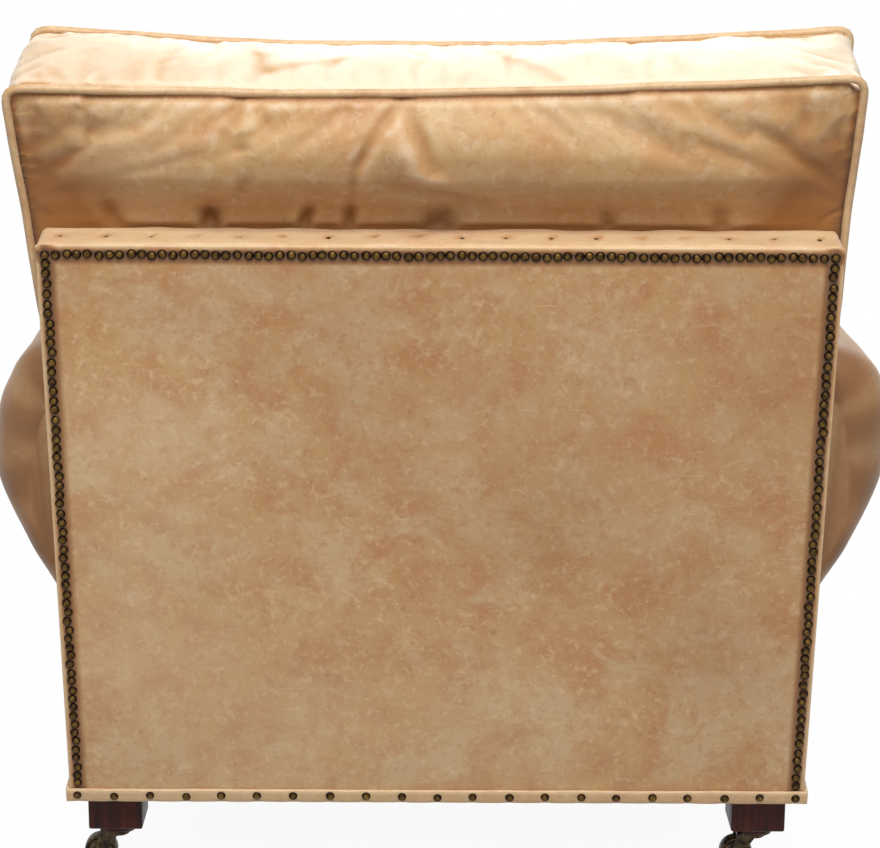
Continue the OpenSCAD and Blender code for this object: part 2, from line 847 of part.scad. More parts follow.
function cushion_grid(d, front, swell = 0) = [for (j = [0:ROWS]) [for (i = [0:COLS])
    let (u = spaced(i, COLS), z = cushion_row(j, front, d), z_low = cushion_row(0, front, d),
        z_ear = cushion_row(LOW + 1, front, d), z_rail = cushion_row(LOW + 3, front, d),
        z_top = cushion_row(ROWS, front, d),
        t = clamp((z - z_rail) / (z_top - z_rail)), e = clamp((z - z_ear) / (z_top - z_ear)),
        w = j <= LOW ? low_half - d : cushion_half_w - d + cushion_flare * e,
        full = 1 - pow(u, 4),
        crown = cushion_crown * full * dome((z - z_low) / (z_top - z_low)),
        y = front ? cushion_front + d + cushion_lean * smooth(e) - crown :
            cushion_rear - d + cushion_lean * smooth(t) + cushion_bulge * full * dome(t))
    [u * (w + swell * dome(e)), y, z + (swell * full - cushion_dish * (1 - u * u)) * t]]];

module cushion_pillow(d) {
    in = d + side_draw;
    out = side_draw + ear_swell;
    pillow(cushion_grid(d, true), cushion_grid(d, false),
        waist(cushion_grid(in, true, out), cushion_grid(in, false, out)));
}

module back_cushion_filling() {
    color(WADDING) in_back() cushion_pillow(leather_t);
}

module back_cushion_cover() {
    color(LEATHER) in_back() difference() {
        cushion_pillow(0);
        cushion_pillow(leather_t);
    }
}

module back_cushion_piping() {
    color(LEATHER) in_back() for (front = [false, true])
        loop_tube(edge(cushion_grid(-piping_off, front)), piping_r, [0, 1, 0]);
}

// Feet. Each has a bore for its caster's stem
module stem_bore(x, y) {
    translate([x, y, foot_z - past]) cylinder(h = stem_len + past + end_gap, r = stem_r + run_gap);
}

module rear_foot() {
    difference() {
        union() {
            box(foot_x - foot_w / 2, foot_x + foot_w / 2, rear_y - foot_w / 2, rear_y + foot_w / 2,
                foot_z + collar_h, rail_z);
            translate([foot_x, rear_y, foot_z]) cylinder(h = collar_h, r = collar_r);
        }
        stem_bore(foot_x, rear_y);
    }
}

// A front foot is turned below its square top
module front_foot() {
    r = foot_w / 2;
    neck = foot_z + collar_h;
    mid = mix(neck, rail_z, 0.7);
    difference() {
        union() {
            box(foot_x - r, foot_x + r, front_y - r, front_y + r, mid, rail_z);
            translate([foot_x, front_y, 0]) rotate_extrude() polygon(concat(
                [[0, foot_z], [collar_r, foot_z], [collar_r, neck]],
                bezier([[collar_r - neck_in, neck], [collar_r - neck_in / 2, mix(neck, mid, 0.3)],
                    [r, mix(neck, mid, 0.3)], [r, mid]], 6),
                [[0, mid]]));
        }
        stem_bore(foot_x, front_y);
    }
}

module rear_feet() {
    color(MAHOGANY) both_sides() rear_foot();
}

module front_feet() {
    color(MAHOGANY) both_sides() front_foot();
}

// Casters. All four trail to the sitter's left
module caster_plate(x, y) {
    translate([x, y, caster_h]) difference() {
        cylinder(h = plate_t, r = collar_r - past);
        translate([0, 0, -past]) cylinder(h = plate_t + 2 * past, r = stem_r + run_gap);
    }
}

module caster_plates() {
    color(BRONZE) for (s = [-1, 1]) {
        caster_plate(s * foot_x, rear_y);
        caster_plate(s * foot_x, front_y);
    }
}

cheek_y = wheel_w / 2 + end_gap;
crown_z = 2 * wheel_r + 1;
boss_r = axle_r + boss_wall;

module fork(x, y) {
    color(BRONZE) translate([x, y, 0]) difference() {
        union() {
            translate([0, 0, crown_z]) cylinder(h = crown_top - crown_z, r = cheek_y + cheek_t);
            box(0, trail, -cheek_y - cheek_t, cheek_y + cheek_t, crown_z, crown_top);
            cylinder_up(crown_top, foot_z + stem_len, stem_r);
            for (s = [-1, 1]) fork_cheek(s);
        }
        translate([trail, -wheel_w, wheel_r]) rotate([-90, 0, 0]) cylinder(h = 2 * wheel_w, r = axle_r);
    }
}

module cylinder_up(z0, z1, r) {
    translate([0, 0, z0]) cylinder(h = z1 - z0, r = r);
}

// A cheek tapers from the crown down to the boss round the axle
module fork_cheek(s) {
    y = s > 0 ? cheek_y : -cheek_y - cheek_t;
    front_view(y, y + cheek_t) {
        polygon([[-boss_r / 2, crown_top], [trail, crown_top], [trail + boss_r, wheel_r + 2],
            [trail + boss_r, wheel_r], [trail - boss_r, wheel_r]]);
        translate([trail, wheel_r]) circle(r = boss_r);
    }
}

module wheel(x, y) {
    color(BRONZE) translate([x + trail, y - wheel_w / 2, wheel_r]) rotate([-90, 0, 0]) difference() {
        cylinder(h = wheel_w, r = wheel_r);
        translate([0, 0, -past]) cylinder(h = wheel_w + 2 * past, r = axle_r + run_gap);
    }
}

// The axle is riveted over at both ends, outside the cheeks
module axle(x, y) {
    half = cheek_y + cheek_t;
    color(BRONZE) translate([x + trail, y, wheel_r]) rotate([-90, 0, 0]) {
        cylinder_up(-half, half, axle_r);
        cylinder_up(half, half + rivet_h, axle_r + rivet_wall);
        cylinder_up(-half - rivet_h, -half, axle_r + rivet_wall);
    }
}

module rear_left_fork() {
    fork(foot_x, rear_y);
}

module rear_right_fork() {
    fork(-foot_x, rear_y);
}

module front_left_fork() {
    fork(foot_x, front_y);
}

module front_right_fork() {
    fork(-foot_x, front_y);
}

module rear_left_wheel() {
    wheel(foot_x, rear_y);
}

module rear_right_wheel() {
    wheel(-foot_x, rear_y);
}

module front_left_wheel() {
    wheel(foot_x, front_y);
}

module front_right_wheel() {
    wheel(-foot_x, front_y);
}

module rear_left_axle() {
    axle(foot_x, rear_y);
}

module rear_right_axle() {
    axle(-foot_x, rear_y);
}

module front_left_axle() {
    axle(foot_x, front_y);
}

module front_right_axle() {
    axle(-foot_x, front_y);
}

front_seat_rail();
rear_seat_rail();
left_seat_rail();
right_seat_rail();
seat_corner_blocks();
left_back_post();
right_back_post();
back_top_rail();
back_tacking_rail();
left_arm_stump();
right_arm_stump();
left_arm_board();
right_arm_board();
arm_tacking_rails();
seat_webbing();
seat_springs();
spring_hessian();
seat_deck_pad();
seat_deck_cover();
back_webbing();
back_pad();
inside_back_cover();
outside_back_panel();
left_arm_padding();
right_arm_padding();
left_arm_cover();
right_arm_cover();
left_arm_facing();
right_arm_facing();
front_border();
base_strip();
dust_cover();
back_top_nails();
back_side_nails();
left_facing_nails();
right_facing_nails();
base_strip_nails();
rail_top_tacks();
seat_cushion_filling();
seat_cushion_cover();
seat_cushion_piping();
back_cushion_filling();
back_cushion_cover();
back_cushion_piping();
rear_feet();
front_feet();
caster_plates();
rear_left_fork();
rear_right_fork();
front_left_fork();
front_right_fork();
rear_left_wheel();
rear_right_wheel();
front_left_wheel();
front_right_wheel();
rear_left_axle();
rear_right_axle();
front_left_axle();
front_right_axle();
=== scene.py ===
import bpy
import bmesh
import math
import random
from mathutils import Matrix, Vector, kdtree, noise


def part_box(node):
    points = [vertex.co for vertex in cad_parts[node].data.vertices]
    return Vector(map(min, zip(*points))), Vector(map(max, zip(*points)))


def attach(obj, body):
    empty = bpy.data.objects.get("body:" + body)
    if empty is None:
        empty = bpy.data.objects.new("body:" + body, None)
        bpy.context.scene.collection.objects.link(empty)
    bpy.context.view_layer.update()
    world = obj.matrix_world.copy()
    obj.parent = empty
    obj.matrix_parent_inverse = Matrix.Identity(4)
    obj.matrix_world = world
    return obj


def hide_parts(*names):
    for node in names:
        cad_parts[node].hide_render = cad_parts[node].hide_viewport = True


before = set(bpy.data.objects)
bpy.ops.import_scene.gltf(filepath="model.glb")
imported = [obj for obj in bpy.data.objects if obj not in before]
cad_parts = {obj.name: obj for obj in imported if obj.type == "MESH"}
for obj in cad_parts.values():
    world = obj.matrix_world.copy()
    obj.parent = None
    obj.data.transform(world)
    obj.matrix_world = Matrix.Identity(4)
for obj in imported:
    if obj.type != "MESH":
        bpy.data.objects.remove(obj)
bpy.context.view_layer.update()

# The studio. The camera stands behind the chair and looks a little down on it. A broad lamp hangs
# high on that side, weaker ones fill from both ends, and the pale floor keeps the chair's shadow.
scene = bpy.context.scene
scene.view_settings.view_transform = "Standard"


def new_object(name, data):
    """Puts a new object with this data in the scene."""
    made = bpy.data.objects.new(name, data)
    scene.collection.objects.link(made)
    return made


camera = new_object("camera", bpy.data.cameras.new("camera"))
camera.data.sensor_width = 36
camera.data.angle = math.radians(20.253)
camera.location = (0.0082, 2.964, 1.191)
# It is held a third of a degree askew
turns = [Matrix.Rotation(math.radians(angle), 3, axis) for angle, axis in ((179.8, "Z"), (76.19, "X"), (0.32, "Z"))]
camera.rotation_euler = (turns[0] @ turns[1] @ turns[2]).to_euler()
scene.camera = camera


def lamp(name, width, depth, watts, place, aim):
    """A square softbox of that width and depth at place, turned to aim."""
    light = bpy.data.lights.new(name, "AREA")
    light.shape = "RECTANGLE"
    light.size, light.size_y, light.energy = width, depth, watts
    box = new_object(name, light)
    box.location = place
    box.rotation_euler = (Vector(aim) - Vector(place)).to_track_quat("-Z", "Y").to_euler()


lamp("high_softbox", 2.2, 1.6, 117, (0, 2.2, 3.1), (0, 0.3, 0.5))
lamp("camera_softbox", 1.6, 1.2, 16, (0.2, 4.8, 2.0), (0, 0, 0.5))
lamp("seat_softbox", 3.2, 1.8, 120, (-0.3, -3.4, 2.9), (0, 0, 0.6))


def linear(colour):
    """Turns an sRGB hex colour into the linear numbers that a shader takes."""
    parts = [int(colour[i:i + 2], 16) / 255 for i in (1, 3, 5)]
    return [p / 12.92 if p <= 0.04045 else ((p + 0.055) / 1.055) ** 2.4 for p in parts] + [1]


def feed(node, inputs):
    """Gives each of a node's inputs its value, or links it to what feeds it."""
    for name, value in inputs.items():
        if isinstance(value, bpy.types.NodeSocket):
            node.id_data.links.new(value, node.inputs[name])
        else:
            node.inputs[name].default_value = value


def add(tree, kind, inputs=(), out=0, **settings):
    """Adds a node with its settings and what feeds its inputs, and gives one of its outputs."""
    made = tree.nodes.new("ShaderNode" + kind)
    for name, value in settings.items():
        setattr(made, name, value)
    feed(made, dict(inputs))
    return made.outputs[out]


def new_finish(name):
    """A new material, with its nodes and its shader."""
    material = bpy.data.materials.new(name)
    material.use_nodes = True
    return material, material.node_tree, material.node_tree.nodes["Principled BSDF"]


def mesh_from(name, bm):
    """A mesh made from a bmesh, which is freed."""
    mesh = bpy.data.meshes.new(name)
    bm.to_mesh(mesh)
    bm.free()
    return mesh


# A mix node's colour inputs and output come after those for plain numbers
FACTOR, COLOUR_A, COLOUR_B = 0, 6, 7
BLEND = {"out": 2, "data_type": "RGBA"}

world = bpy.data.worlds.new("white_room")
world.use_nodes = True
scene.world = world
paper, paper_tree, paper_shader = new_finish("white_paper")
# Both show as white to the camera, in mirrors and through glass, and light the chair much less
shown = {}
for tree in (world.node_tree, paper_tree):
    kinds = [add(tree, "LightPath", out="Is " + kind + " Ray") for kind in ("Camera", "Glossy", "Transmission")]
    either = add(tree, "Math", {0: kinds[0], 1: kinds[1]}, operation="MAXIMUM")
    shown[tree] = add(tree, "Math", {0: either, 1: kinds[2]}, operation="MAXIMUM")
tree = world.node_tree
strength = add(tree, "MapRange", {"Value": shown[tree], "To Min": 0.14, "To Max": 1.0})
feed(tree.nodes["Background"], {"Strength": strength, "Color": linear("#fffefc")})

bm = bmesh.new()
bmesh.ops.create_grid(bm, x_segments=1, y_segments=1, size=40)
floor = new_object("studio_floor", mesh_from("studio_floor", bm))
# Matt paper. Where it is seen it is white, and greys softly in the shadow under and round the chair.
tree = paper_tree
feed(paper_shader, {"Base Color": linear("#b9b7b3"), "Roughness": 0.9, "Specular IOR Level": 0.1})
closed = add(tree, "AmbientOcclusion", {"Distance": 0.3}, out="AO", samples=8)
glow = add(tree, "MapRange", {"Value": closed, "From Min": 0.0, "From Max": 0.8, "To Min": 0.93, "To Max": 1.0})
mixed = add(tree, "MixShader", {0: shown[tree], 1: paper_shader.outputs[0],
                                2: add(tree, "Emission", {"Color": linear("#ffffff"), "Strength": glow})})
feed(tree.nodes["Material Output"], {"Surface": mixed})
floor.data.materials.append(paper)

# The wooden frame: kiln-dried beech rails, posts and boards, screwed and glued, with corner blocks.
# Sawn beech is pale and even, with fine short flecks along the grain.
MM = 0.001


def sawn_wood(name, light, dark, along, grain, rough):
    """Wood whose grain runs along one axis: streaks of one colour on another, with flecks."""
    material, tree, shader = new_finish(name)
    squeeze = [1 / grain] * 3
    squeeze[along] = 0.06 / grain
    place = add(tree, "Mapping", {"Vector": add(tree, "TexCoord", out="Object"), "Scale": squeeze})
    rings = add(tree, "TexNoise", {"Vector": place, "Scale": 1.0, "Detail": 4.0, "Distortion": 0.6})
    fleck = add(tree, "TexNoise", {"Vector": place, "Scale": 5.0, "Detail": 2.0})
    streak = add(tree, "MapRange", {"Value": rings, "From Min": 0.38, "From Max": 0.64})
    tone = add(tree, "Mix", {FACTOR: streak, COLOUR_A: linear(light), COLOUR_B: linear(dark)}, **BLEND)
    speck = add(tree, "MapRange", {"Value": fleck, "From Min": 0.58, "From Max": 0.74, "To Max": 0.5})
    tone = add(tree, "Mix", {FACTOR: speck, COLOUR_A: tone, COLOUR_B: linear(dark)}, **BLEND)
    gloss = add(tree, "MapRange", {"Value": rings, "To Min": rough - 0.08, "To Max": rough + 0.08})
    bump = add(tree, "Bump", {"Height": fleck, "Strength": 0.3, "Distance": 0.3 * MM})
    feed(shader, {"Base Color": tone, "Roughness": gloss, "Normal": bump})
    return material


def dress(material, *nodes):
    """Gives CAD nodes that keep their shape their real material."""
    for name in nodes:
        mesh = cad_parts[name].data
        mesh.materials.clear()
        mesh.materials.append(material)


# The grain runs along each board
for along, way, boards in (
        (0, "across", ("front_seat_rail", "rear_seat_rail", "back_top_rail", "back_tacking_rail")),
        (1, "lengthwise", ("left_seat_rail", "right_seat_rail", "left_arm_board", "right_arm_board",
                           "arm_tacking_rails")),
        (2, "upright", ("seat_corner_blocks", "left_back_post", "right_back_post", "left_arm_stump",
                        "right_arm_stump"))):
    dress(sawn_wood("sawn_beech_" + way, "#d3b386", "#b78f60", along, 9 * MM, 0.65), *boards)


# The suspension: crossed jute webbing under nine coil springs of blued wire, with hessian over them.
# Jute is a coarse open plain weave of dull straw-coloured yarn.
def woven(name, light, dark, thread, rough):
    """Plain-woven cloth with yarns that far apart, crossing over and under one another."""
    material, tree, shader = new_finish(name)
    place = add(tree, "TexCoord", out="Object")
    turns = math.pi / thread
    split = add(tree, "SeparateXYZ", {0: place}).node
    waves = [add(tree, "Math", {0: add(tree, "Math", {0: split.outputs[axis], 1: turns}, operation="MULTIPLY")},
                 operation="SINE") for axis in range(3)]
    cross = add(tree, "Math", {0: waves[0], 1: add(tree, "Math", {0: waves[1], 1: waves[2]}, operation="ADD")},
                operation="MULTIPLY")
    height = add(tree, "MapRange", {"Value": cross, "From Min": -1.0, "From Max": 1.0})
    slub = add(tree, "TexNoise", {"Vector": place, "Scale": 0.25 / thread, "Detail": 3.0})
    # The yarns are painted darker where they dip under one another, as shade between them, and vary along their slubs
    worn = add(tree, "Math", {0: height, 1: add(tree, "MapRange", {"Value": slub, "To Min": 0.4, "To Max": 1.3})},
               operation="MULTIPLY")
    tone = add(tree, "Mix", {FACTOR: worn, COLOUR_A: linear(dark), COLOUR_B: linear(light)}, **BLEND)
    bump = add(tree, "Bump", {"Height": height, "Strength": 0.6, "Distance": 0.2 * thread})
    feed(shader, {"Base Color": tone, "Normal": bump, "Roughness": rough, "Specular IOR Level": 0.15})
    return material


dress(woven("woven_jute", "#bfa472", "#7d6437", 2.4 * MM, 0.9), "seat_webbing", "back_webbing", "spring_hessian")


def cast_metal(name, light, dark, rough, metallic, patch):
    """Metal darkened by age: one tone worn through to another in patches, with a fine pitting."""
    material, tree, shader = new_finish(name)
    place = add(tree, "TexCoord", out="Object")
    cloud = add(tree, "TexNoise", {"Vector": place, "Scale": 1 / patch, "Detail": 4.0, "Roughness": 0.6})
    worn = add(tree, "MapRange", {"Value": cloud, "From Min": 0.4, "From Max": 0.66})
    tone = add(tree, "Mix", {FACTOR: worn, COLOUR_A: linear(dark), COLOUR_B: linear(light)}, **BLEND)
    gloss = add(tree, "MapRange", {"Value": cloud, "To Min": rough + 0.12, "To Max": rough - 0.1})
    pits = add(tree, "TexNoise", {"Vector": place, "Scale": 8 / patch, "Detail": 2.0})
    bump = add(tree, "Bump", {"Height": pits, "Strength": 0.25, "Distance": 0.3 * MM})
    feed(shader, {"Base Color": tone, "Roughness": gloss, "Normal": bump, "Metallic": metallic})
    return material


dress(cast_metal("blued_spring_steel", "#6d675d", "#35322d", 0.35, 1.0, 20 * MM), "seat_springs")

# The outside back: one flat hide of buff leather, pulled over the back posts and nailed along its top
# and both sides. It leans as the back does, and its cut edge shows as a pale rim outside the nails.
# Waxed pull-up leather: soft buff, ochre and rosy patches, small pale scuffs and a dull sheen.
BASE = 0.1
# Where along Y the outside of the back meets the upholstery's lower edge, and leans from there
BACK_FOOT = 0.332067
SLOPE = math.radians(10)
LEAN = Matrix.Translation((0, BACK_FOOT, BASE)) @ Matrix.Rotation(-SLOPE, 4, "X")
BACK_HALF = 419 * MM
BACK_TOP = 671 * MM
BACK_DEEP = 60 * MM
NAIL_ROW = 10 * MM
NAIL_PITCH = 11 * MM


def waxed_leather(name, tones, patch, rough, fold_depth, scuffed):
    """Leather mottled in patches of that size, with scuffs, pores, and an attribute of wear and painted light
    and shade that pales or darkens it. Its tones are the ground, a rosy and a greyish one, and its palest and
    darkest, and scuffed is the share of its small pale marks."""
    material, tree, shader = new_finish(name)
    place = add(tree, "TexCoord", out="Object")
    ground, rosy, grey, pale, deep = [linear(tone) for tone in tones]
    tone = ground
    # Soft patches of dye, then small pale rubs and dark specks: tone, size, start and end, and the most
    for colour, size, start, end, most in (
            (rosy, patch, 0.43, 0.62, 1.0), (grey, 1.6 * patch, 0.45, 0.62, 0.9),
            (ground, 0.5 * patch, 0.5, 0.66, 0.7), (rosy, 0.3 * patch, 0.5, 0.68, 0.5),
            (pale, 0.2 * patch, 0.52, 0.72, 0.12 + 0.3 * scuffed),
            (deep, 0.13 * patch, 0.54, 0.74, 0.3),
            (pale, 0.075 * patch, 0.56, 0.72, 0.45 * scuffed)):
        cloud = add(tree, "TexNoise", {"Vector": place, "Scale": 1 / size, "Detail": 4.0, "Roughness": 0.6,
                                       "Distortion": 0.5})
        share = add(tree, "MapRange", {"Value": cloud, "From Min": start, "From Max": end, "To Max": most},
                    interpolation_type="SMOOTHSTEP")
        tone = add(tree, "Mix", {FACTOR: share, COLOUR_A: tone, COLOUR_B: colour}, **BLEND)
    # Scuffs: thin pale lines between cells that a noise has bent, and straight scratches, both in places
    bend = add(tree, "TexNoise", {"Vector": place, "Scale": 1 / (40 * MM), "Detail": 3.0}, out="Color")
    shifted = add(tree, "VectorMath", {0: bend, 1: (0.5, 0.5, 0.5)}, operation="SUBTRACT")
    shifted = add(tree, "VectorMath", {0: shifted, "Scale": 60 * MM}, operation="SCALE")
    shifted = add(tree, "VectorMath", {0: place, 1: shifted}, operation="ADD")
    edge = add(tree, "TexVoronoi", {"Vector": shifted, "Scale": 1 / (70 * MM)}, feature="DISTANCE_TO_EDGE")
    line = add(tree, "MapRange", {"Value": edge, "From Min": 0.0, "From Max": 0.035, "To Min": 1.0, "To Max": 0.0},
               interpolation_type="SMOOTHSTEP")
    turned_way = add(tree, "Mapping", {"Vector": place, "Rotation": (0.1, 0.35, 0.2), "Scale": (9, 260, 260)})
    streak = add(tree, "TexNoise", {"Vector": turned_way, "Scale": 1.0, "Detail": 1.0})
    streak = add(tree, "MapRange", {"Value": streak, "From Min": 0.66, "From Max": 0.74})
    where = add(tree, "TexNoise", {"Vector": place, "Scale": 1 / (38 * MM), "Detail": 6.0, "Roughness": 0.6})
    for mark, start, end, most in ((line, 0.48, 0.74, 0.42 * scuffed), (streak, 0.5, 0.66, 0.4 * scuffed)):
        share = add(tree, "MapRange", {"Value": where, "From Min": start, "From Max": end, "To Max": most})
        share = add(tree, "Math", {0: mark, 1: share}, operation="MULTIPLY")
        tone = add(tree, "Mix", {FACTOR: share, COLOUR_A: tone, COLOUR_B: pale}, **BLEND)
    # Small dark marks here and there
    marks = add(tree, "TexVoronoi", {"Vector": shifted, "Scale": 1 / (46 * MM)}, feature="F1")
    spot = add(tree, "MapRange", {"Value": marks, "From Min": 0.02, "From Max": 0.06, "To Min": 0.6, "To Max": 0.0})
    share = add(tree, "MapRange", {"Value": where, "From Min": 0.4, "From Max": 0.5, "To Min": 0.9, "To Max": 0.0})
    share = add(tree, "Math", {0: spot, 1: share}, operation="MULTIPLY")
    tone = add(tree, "Mix", {FACTOR: share, COLOUR_A: tone, COLOUR_B: deep}, **BLEND)
    # Where it is stretched or rubbed, and as painted highlight, the attribute pales it; as painted shade in folds,
    # hollows and along nails it darkens it, past -1 towards a near-black painted shadow
    wear_and_painted_light = add(tree, "Attribute", out="Fac", attribute_name="wear_and_painted_light", attribute_type="GEOMETRY")
    for colour, start, end, most in ((pale, 0.0, 1.0, 0.85), (deep, 0.0, -1.0, 0.95),
                                     (linear("#3b2413"), -1.0, -2.0, 0.8)):
        share = add(tree, "MapRange", {"Value": wear_and_painted_light, "From Min": start, "From Max": end, "To Max": most})
        tone = add(tree, "Mix", {FACTOR: share, COLOUR_A: tone, COLOUR_B: colour}, **BLEND)
    gloss = add(tree, "MapRange", {"Value": where, "From Min": 0.3, "From Max": 0.7, "To Min": rough - 0.06,
                                   "To Max": rough + 0.1})
    # The grain's real pebbles of about 1 mm are too fine to show here, so they are drawn at 3 mm
    grain = add(tree, "TexVoronoi", {"Vector": place, "Scale": 1 / (3 * MM)}, feature="F1")
    creased = add(tree, "TexNoise", {"Vector": shifted, "Scale": 1 / (16 * MM), "Detail": 5.0, "Roughness": 0.6})
    fine = add(tree, "Bump", {"Height": grain, "Strength": 0.2, "Distance": 0.4 * MM})
    bump = add(tree, "Bump", {"Height": creased, "Strength": 0.5, "Distance": fold_depth, "Normal": fine})
    # The wax blooms pale where the surface is seen edge on
    feed(shader, {"Base Color": tone, "Roughness": gloss, "Normal": bump, "Sheen Weight": 0.2,
                  "Sheen Roughness": 0.45, "Coat Weight": 0.06, "Coat Roughness": 0.4})
    return material


body_leather = waxed_leather("buff_waxed_leather", ("#bc9363", "#b38052", "#c1a179", "#dabd96", "#85572c"),
                             62 * MM, 0.52, 0.8 * MM, 1.0)


def padded_box(low, high, radius, cell, steps=3):
    """A box with rounded edges, cut into cells small enough to bend."""
    low, high = Vector(low), Vector(high)
    bm = bmesh.new()
    bmesh.ops.create_cube(bm, size=1, matrix=Matrix.Translation((low + high) / 2) @
                          Matrix.Diagonal((*(high - low), 1)))
    bmesh.ops.bevel(bm, geom=bm.edges[:], offset=radius, segments=steps, affect="EDGES", profile=0.5, material=-1)
    for axis in range(3):
        runs = [e for e in bm.edges if e.calc_length() > 1.5 * cell and
                abs((e.verts[0].co - e.verts[1].co).normalized()[axis]) > 0.99]
        if runs:
            bmesh.ops.subdivide_edges(bm, edges=runs, cuts=round(runs[0].calc_length() / cell) - 1,
                                      use_grid_fill=True)
    return bm


def swell(place, size, seed=0.0):
    """Slow ups and downs between about -1 and 1, that far apart."""
    return noise.noise(Vector(place) / size + Vector((seed, 7.1 * seed, 3.3 * seed))) * 1.6


def spread(start, stop, pitch):
    """Evenly spread places from start to stop, about one pitch apart."""
    count = max(1, round(abs(stop - start) / pitch))
    return [start + (stop - start) * i / count for i in range(count + 1)]


def make_piece(name, bm, *replaced, material=body_leather, body="frame", slot="body_leather", sharp=50,
               place=None):
    """Makes a finished piece in the stead of CAD nodes, on a body and with its material; the slot is not used."""
    if place:
        bm.transform(place)
    for edge in bm.edges:
        edge.smooth = len(edge.link_faces) == 2 and edge.calc_face_angle(0) < math.radians(sharp)
    for face in bm.faces:
        face.smooth = True
    piece = new_object(name, mesh_from(name, bm))
    piece.data.materials.append(material)
    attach(piece, body)
    if replaced:
        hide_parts(*replaced)
    return piece


def ease(t):
    """Rises from 0 to 1 with soft ends."""
    t = max(0, min(1, t))
    return t * t * (3 - 2 * t)


def bell(x, width):
    """1 where x is 0, and falls off softly on both sides of it over that width."""
    return math.exp(-(x / width) ** 2)


bm = padded_box((-BACK_HALF, -2.5 * MM, 0), (BACK_HALF, 0, BACK_TOP), 1.1 * MM, 7 * MM, 2)
wear_and_painted_light = bm.verts.layers.float.new("wear_and_painted_light")
# Where the hide is warmer or paler, as x and z on the back, reach, and strength
CLOUDS = [(-0.12, 0.36, 0.11, -0.25), (-0.30, 0.20, 0.10, -0.3), (0.33, 0.45, 0.12, 0.35), (0.10, 0.55, 0.16, -0.12),
          (0.2, 0.1, 0.16, 0.25), (-0.1, 0.08, 0.14, 0.2), (0.36, 0.2, 0.1, 0.3), (-0.36, 0.5, 0.12, -0.2)]
for v in bm.verts:
    side = BACK_HALF - abs(v.co.x)
    top = BACK_TOP - v.co.z
    row = min(abs(side - NAIL_ROW), abs(top - NAIL_ROW))
    inner = min(1, max(0, min(side, top, v.co.z) / (60 * MM)))
    if v.co.y > -1.4 * MM:
        v.co.y += MM * (0.9 * swell(v.co, 0.16) + 0.35 * swell(v.co, 0.05, 3)) * inner
        v.co.y -= 0.7 * MM * bell(row, 7 * MM)
    v[wear_and_painted_light] = sum(s * math.exp(-((v.co.x - x) ** 2 + (v.co.z - z) ** 2) / r ** 2) for x, z, r, s in CLOUDS)
    # Painted shade: the hide along the nail rows is darkened as shade under the heads and as grime, and a little
    # towards the top; its cut edge is paler
    v[wear_and_painted_light] -= 2.0 * math.exp(-(row / (6.4 * MM)) ** 4) + 0.16 * ease(v.co.z / BACK_TOP * 1.4 - 0.4)
    v[wear_and_painted_light] += 0.9 * bell(min(side, top), 4 * MM)
outside_back = make_piece("outside_back_leather", bm, "outside_back_panel", place=LEAN)

# The inside back: wadding over the webbed posts, covered in one piece that wraps over the top rail
# and down both sides. A line of small tacks holds the leather down along the top of the rail.
TACKS = spread(-396 * MM, 396 * MM, 46 * MM)
# It is open behind and underneath, and in front below this height, where the seat deck hides it
HIDDEN_BELOW = 178 * MM
bm = padded_box((-BACK_HALF, -BACK_DEEP, 0), (BACK_HALF, -2.6 * MM, BACK_TOP), 6 * MM, 8 * MM)
wear_and_painted_light = bm.verts.layers.float.new("wear_and_painted_light")
inner_faces = [f for f in bm.faces if f.normal.y > 0.99 or f.normal.z < -0.99 or
               (f.normal.y < -0.9 and f.calc_center_median().z < HIDDEN_BELOW
                and abs(f.calc_center_median().x) < 400 * MM)]
bmesh.ops.delete(bm, geom=inner_faces, context="FACES")
for v in bm.verts:
    if v.co.z > BACK_TOP - 3 * MM:
        near = min(math.hypot(v.co.x - x, v.co.y + 30 * MM) for x in TACKS)
        across = (v.co.y + 30 * MM) / (30 * MM)
        v.co.z += MM * (1.2 * (1 - across ** 2) - 2.6 * bell(near, 8 * MM))
        v.co.z += MM * 0.9 * swell((v.co.x, v.co.y * 2, 0), 0.035, 5)
        # Painted light and shade: the rail's top is painted pale as lit, and dark round each tack as shade in its
        # dimple
        v[wear_and_painted_light] = 0.6 - 1.6 * bell(near, 5 * MM)
    elif abs(v.co.x) > BACK_HALF - 3 * MM:
        v.co.x += math.copysign(MM * 0.8 * swell(v.co, 0.09, 2), v.co.x)
inside_back = make_piece("inside_back_leather", bm, "inside_back_cover", "back_pad", place=LEAN)
thick = inside_back.modifiers.new("hide", "SOLIDIFY")
thick.thickness, thick.offset = 2.2 * MM, -1

# The arms: a board and a stump under wadding, covered in one hide that is pulled round the roll,
# gathered at its rounded rear end and tacked under the seat frame.
ARM_OUTLINE = [(284, 100), (284, 240), (284, 400), (284, 540), (286, 588), (298, 624), (322, 643), (350, 649),
               (385, 650), (418, 646), (446, 634), (466, 616), (480, 592), (488, 567), (492, 540), (492, 518),
               (489, 496), (483, 474), (473, 448), (460, 418), (445, 388), (429, 358), (415, 330), (410, 300),
               (410, 200), (410, 100)]
ARM_LONG = 800 * MM
ARM_END = 52 * MM
ARM_SET_IN = 20 * MM
# The pleats of its gathered end: how far forward they reach, and how closely they follow one another
GATHERS = 130 * MM
PLEATS = 95
FRAME_FRONT = -430.8 * MM
SIDES = ((1, "left"), (-1, "right"))


def even_line(line, pitch):
    """Even places, about one pitch apart, along straight runs from point to point."""
    lengths = [0]
    for a, b in zip(line, line[1:]):
        lengths.append(lengths[-1] + (b - a).length)
    places, k = [], 0
    for s in spread(0, lengths[-1], pitch):
        while k < len(line) - 2 and lengths[k + 1] < s:
            k += 1
        places.append(line[k].lerp(line[k + 1], (s - lengths[k]) / (lengths[k + 1] - lengths[k])))
    return places


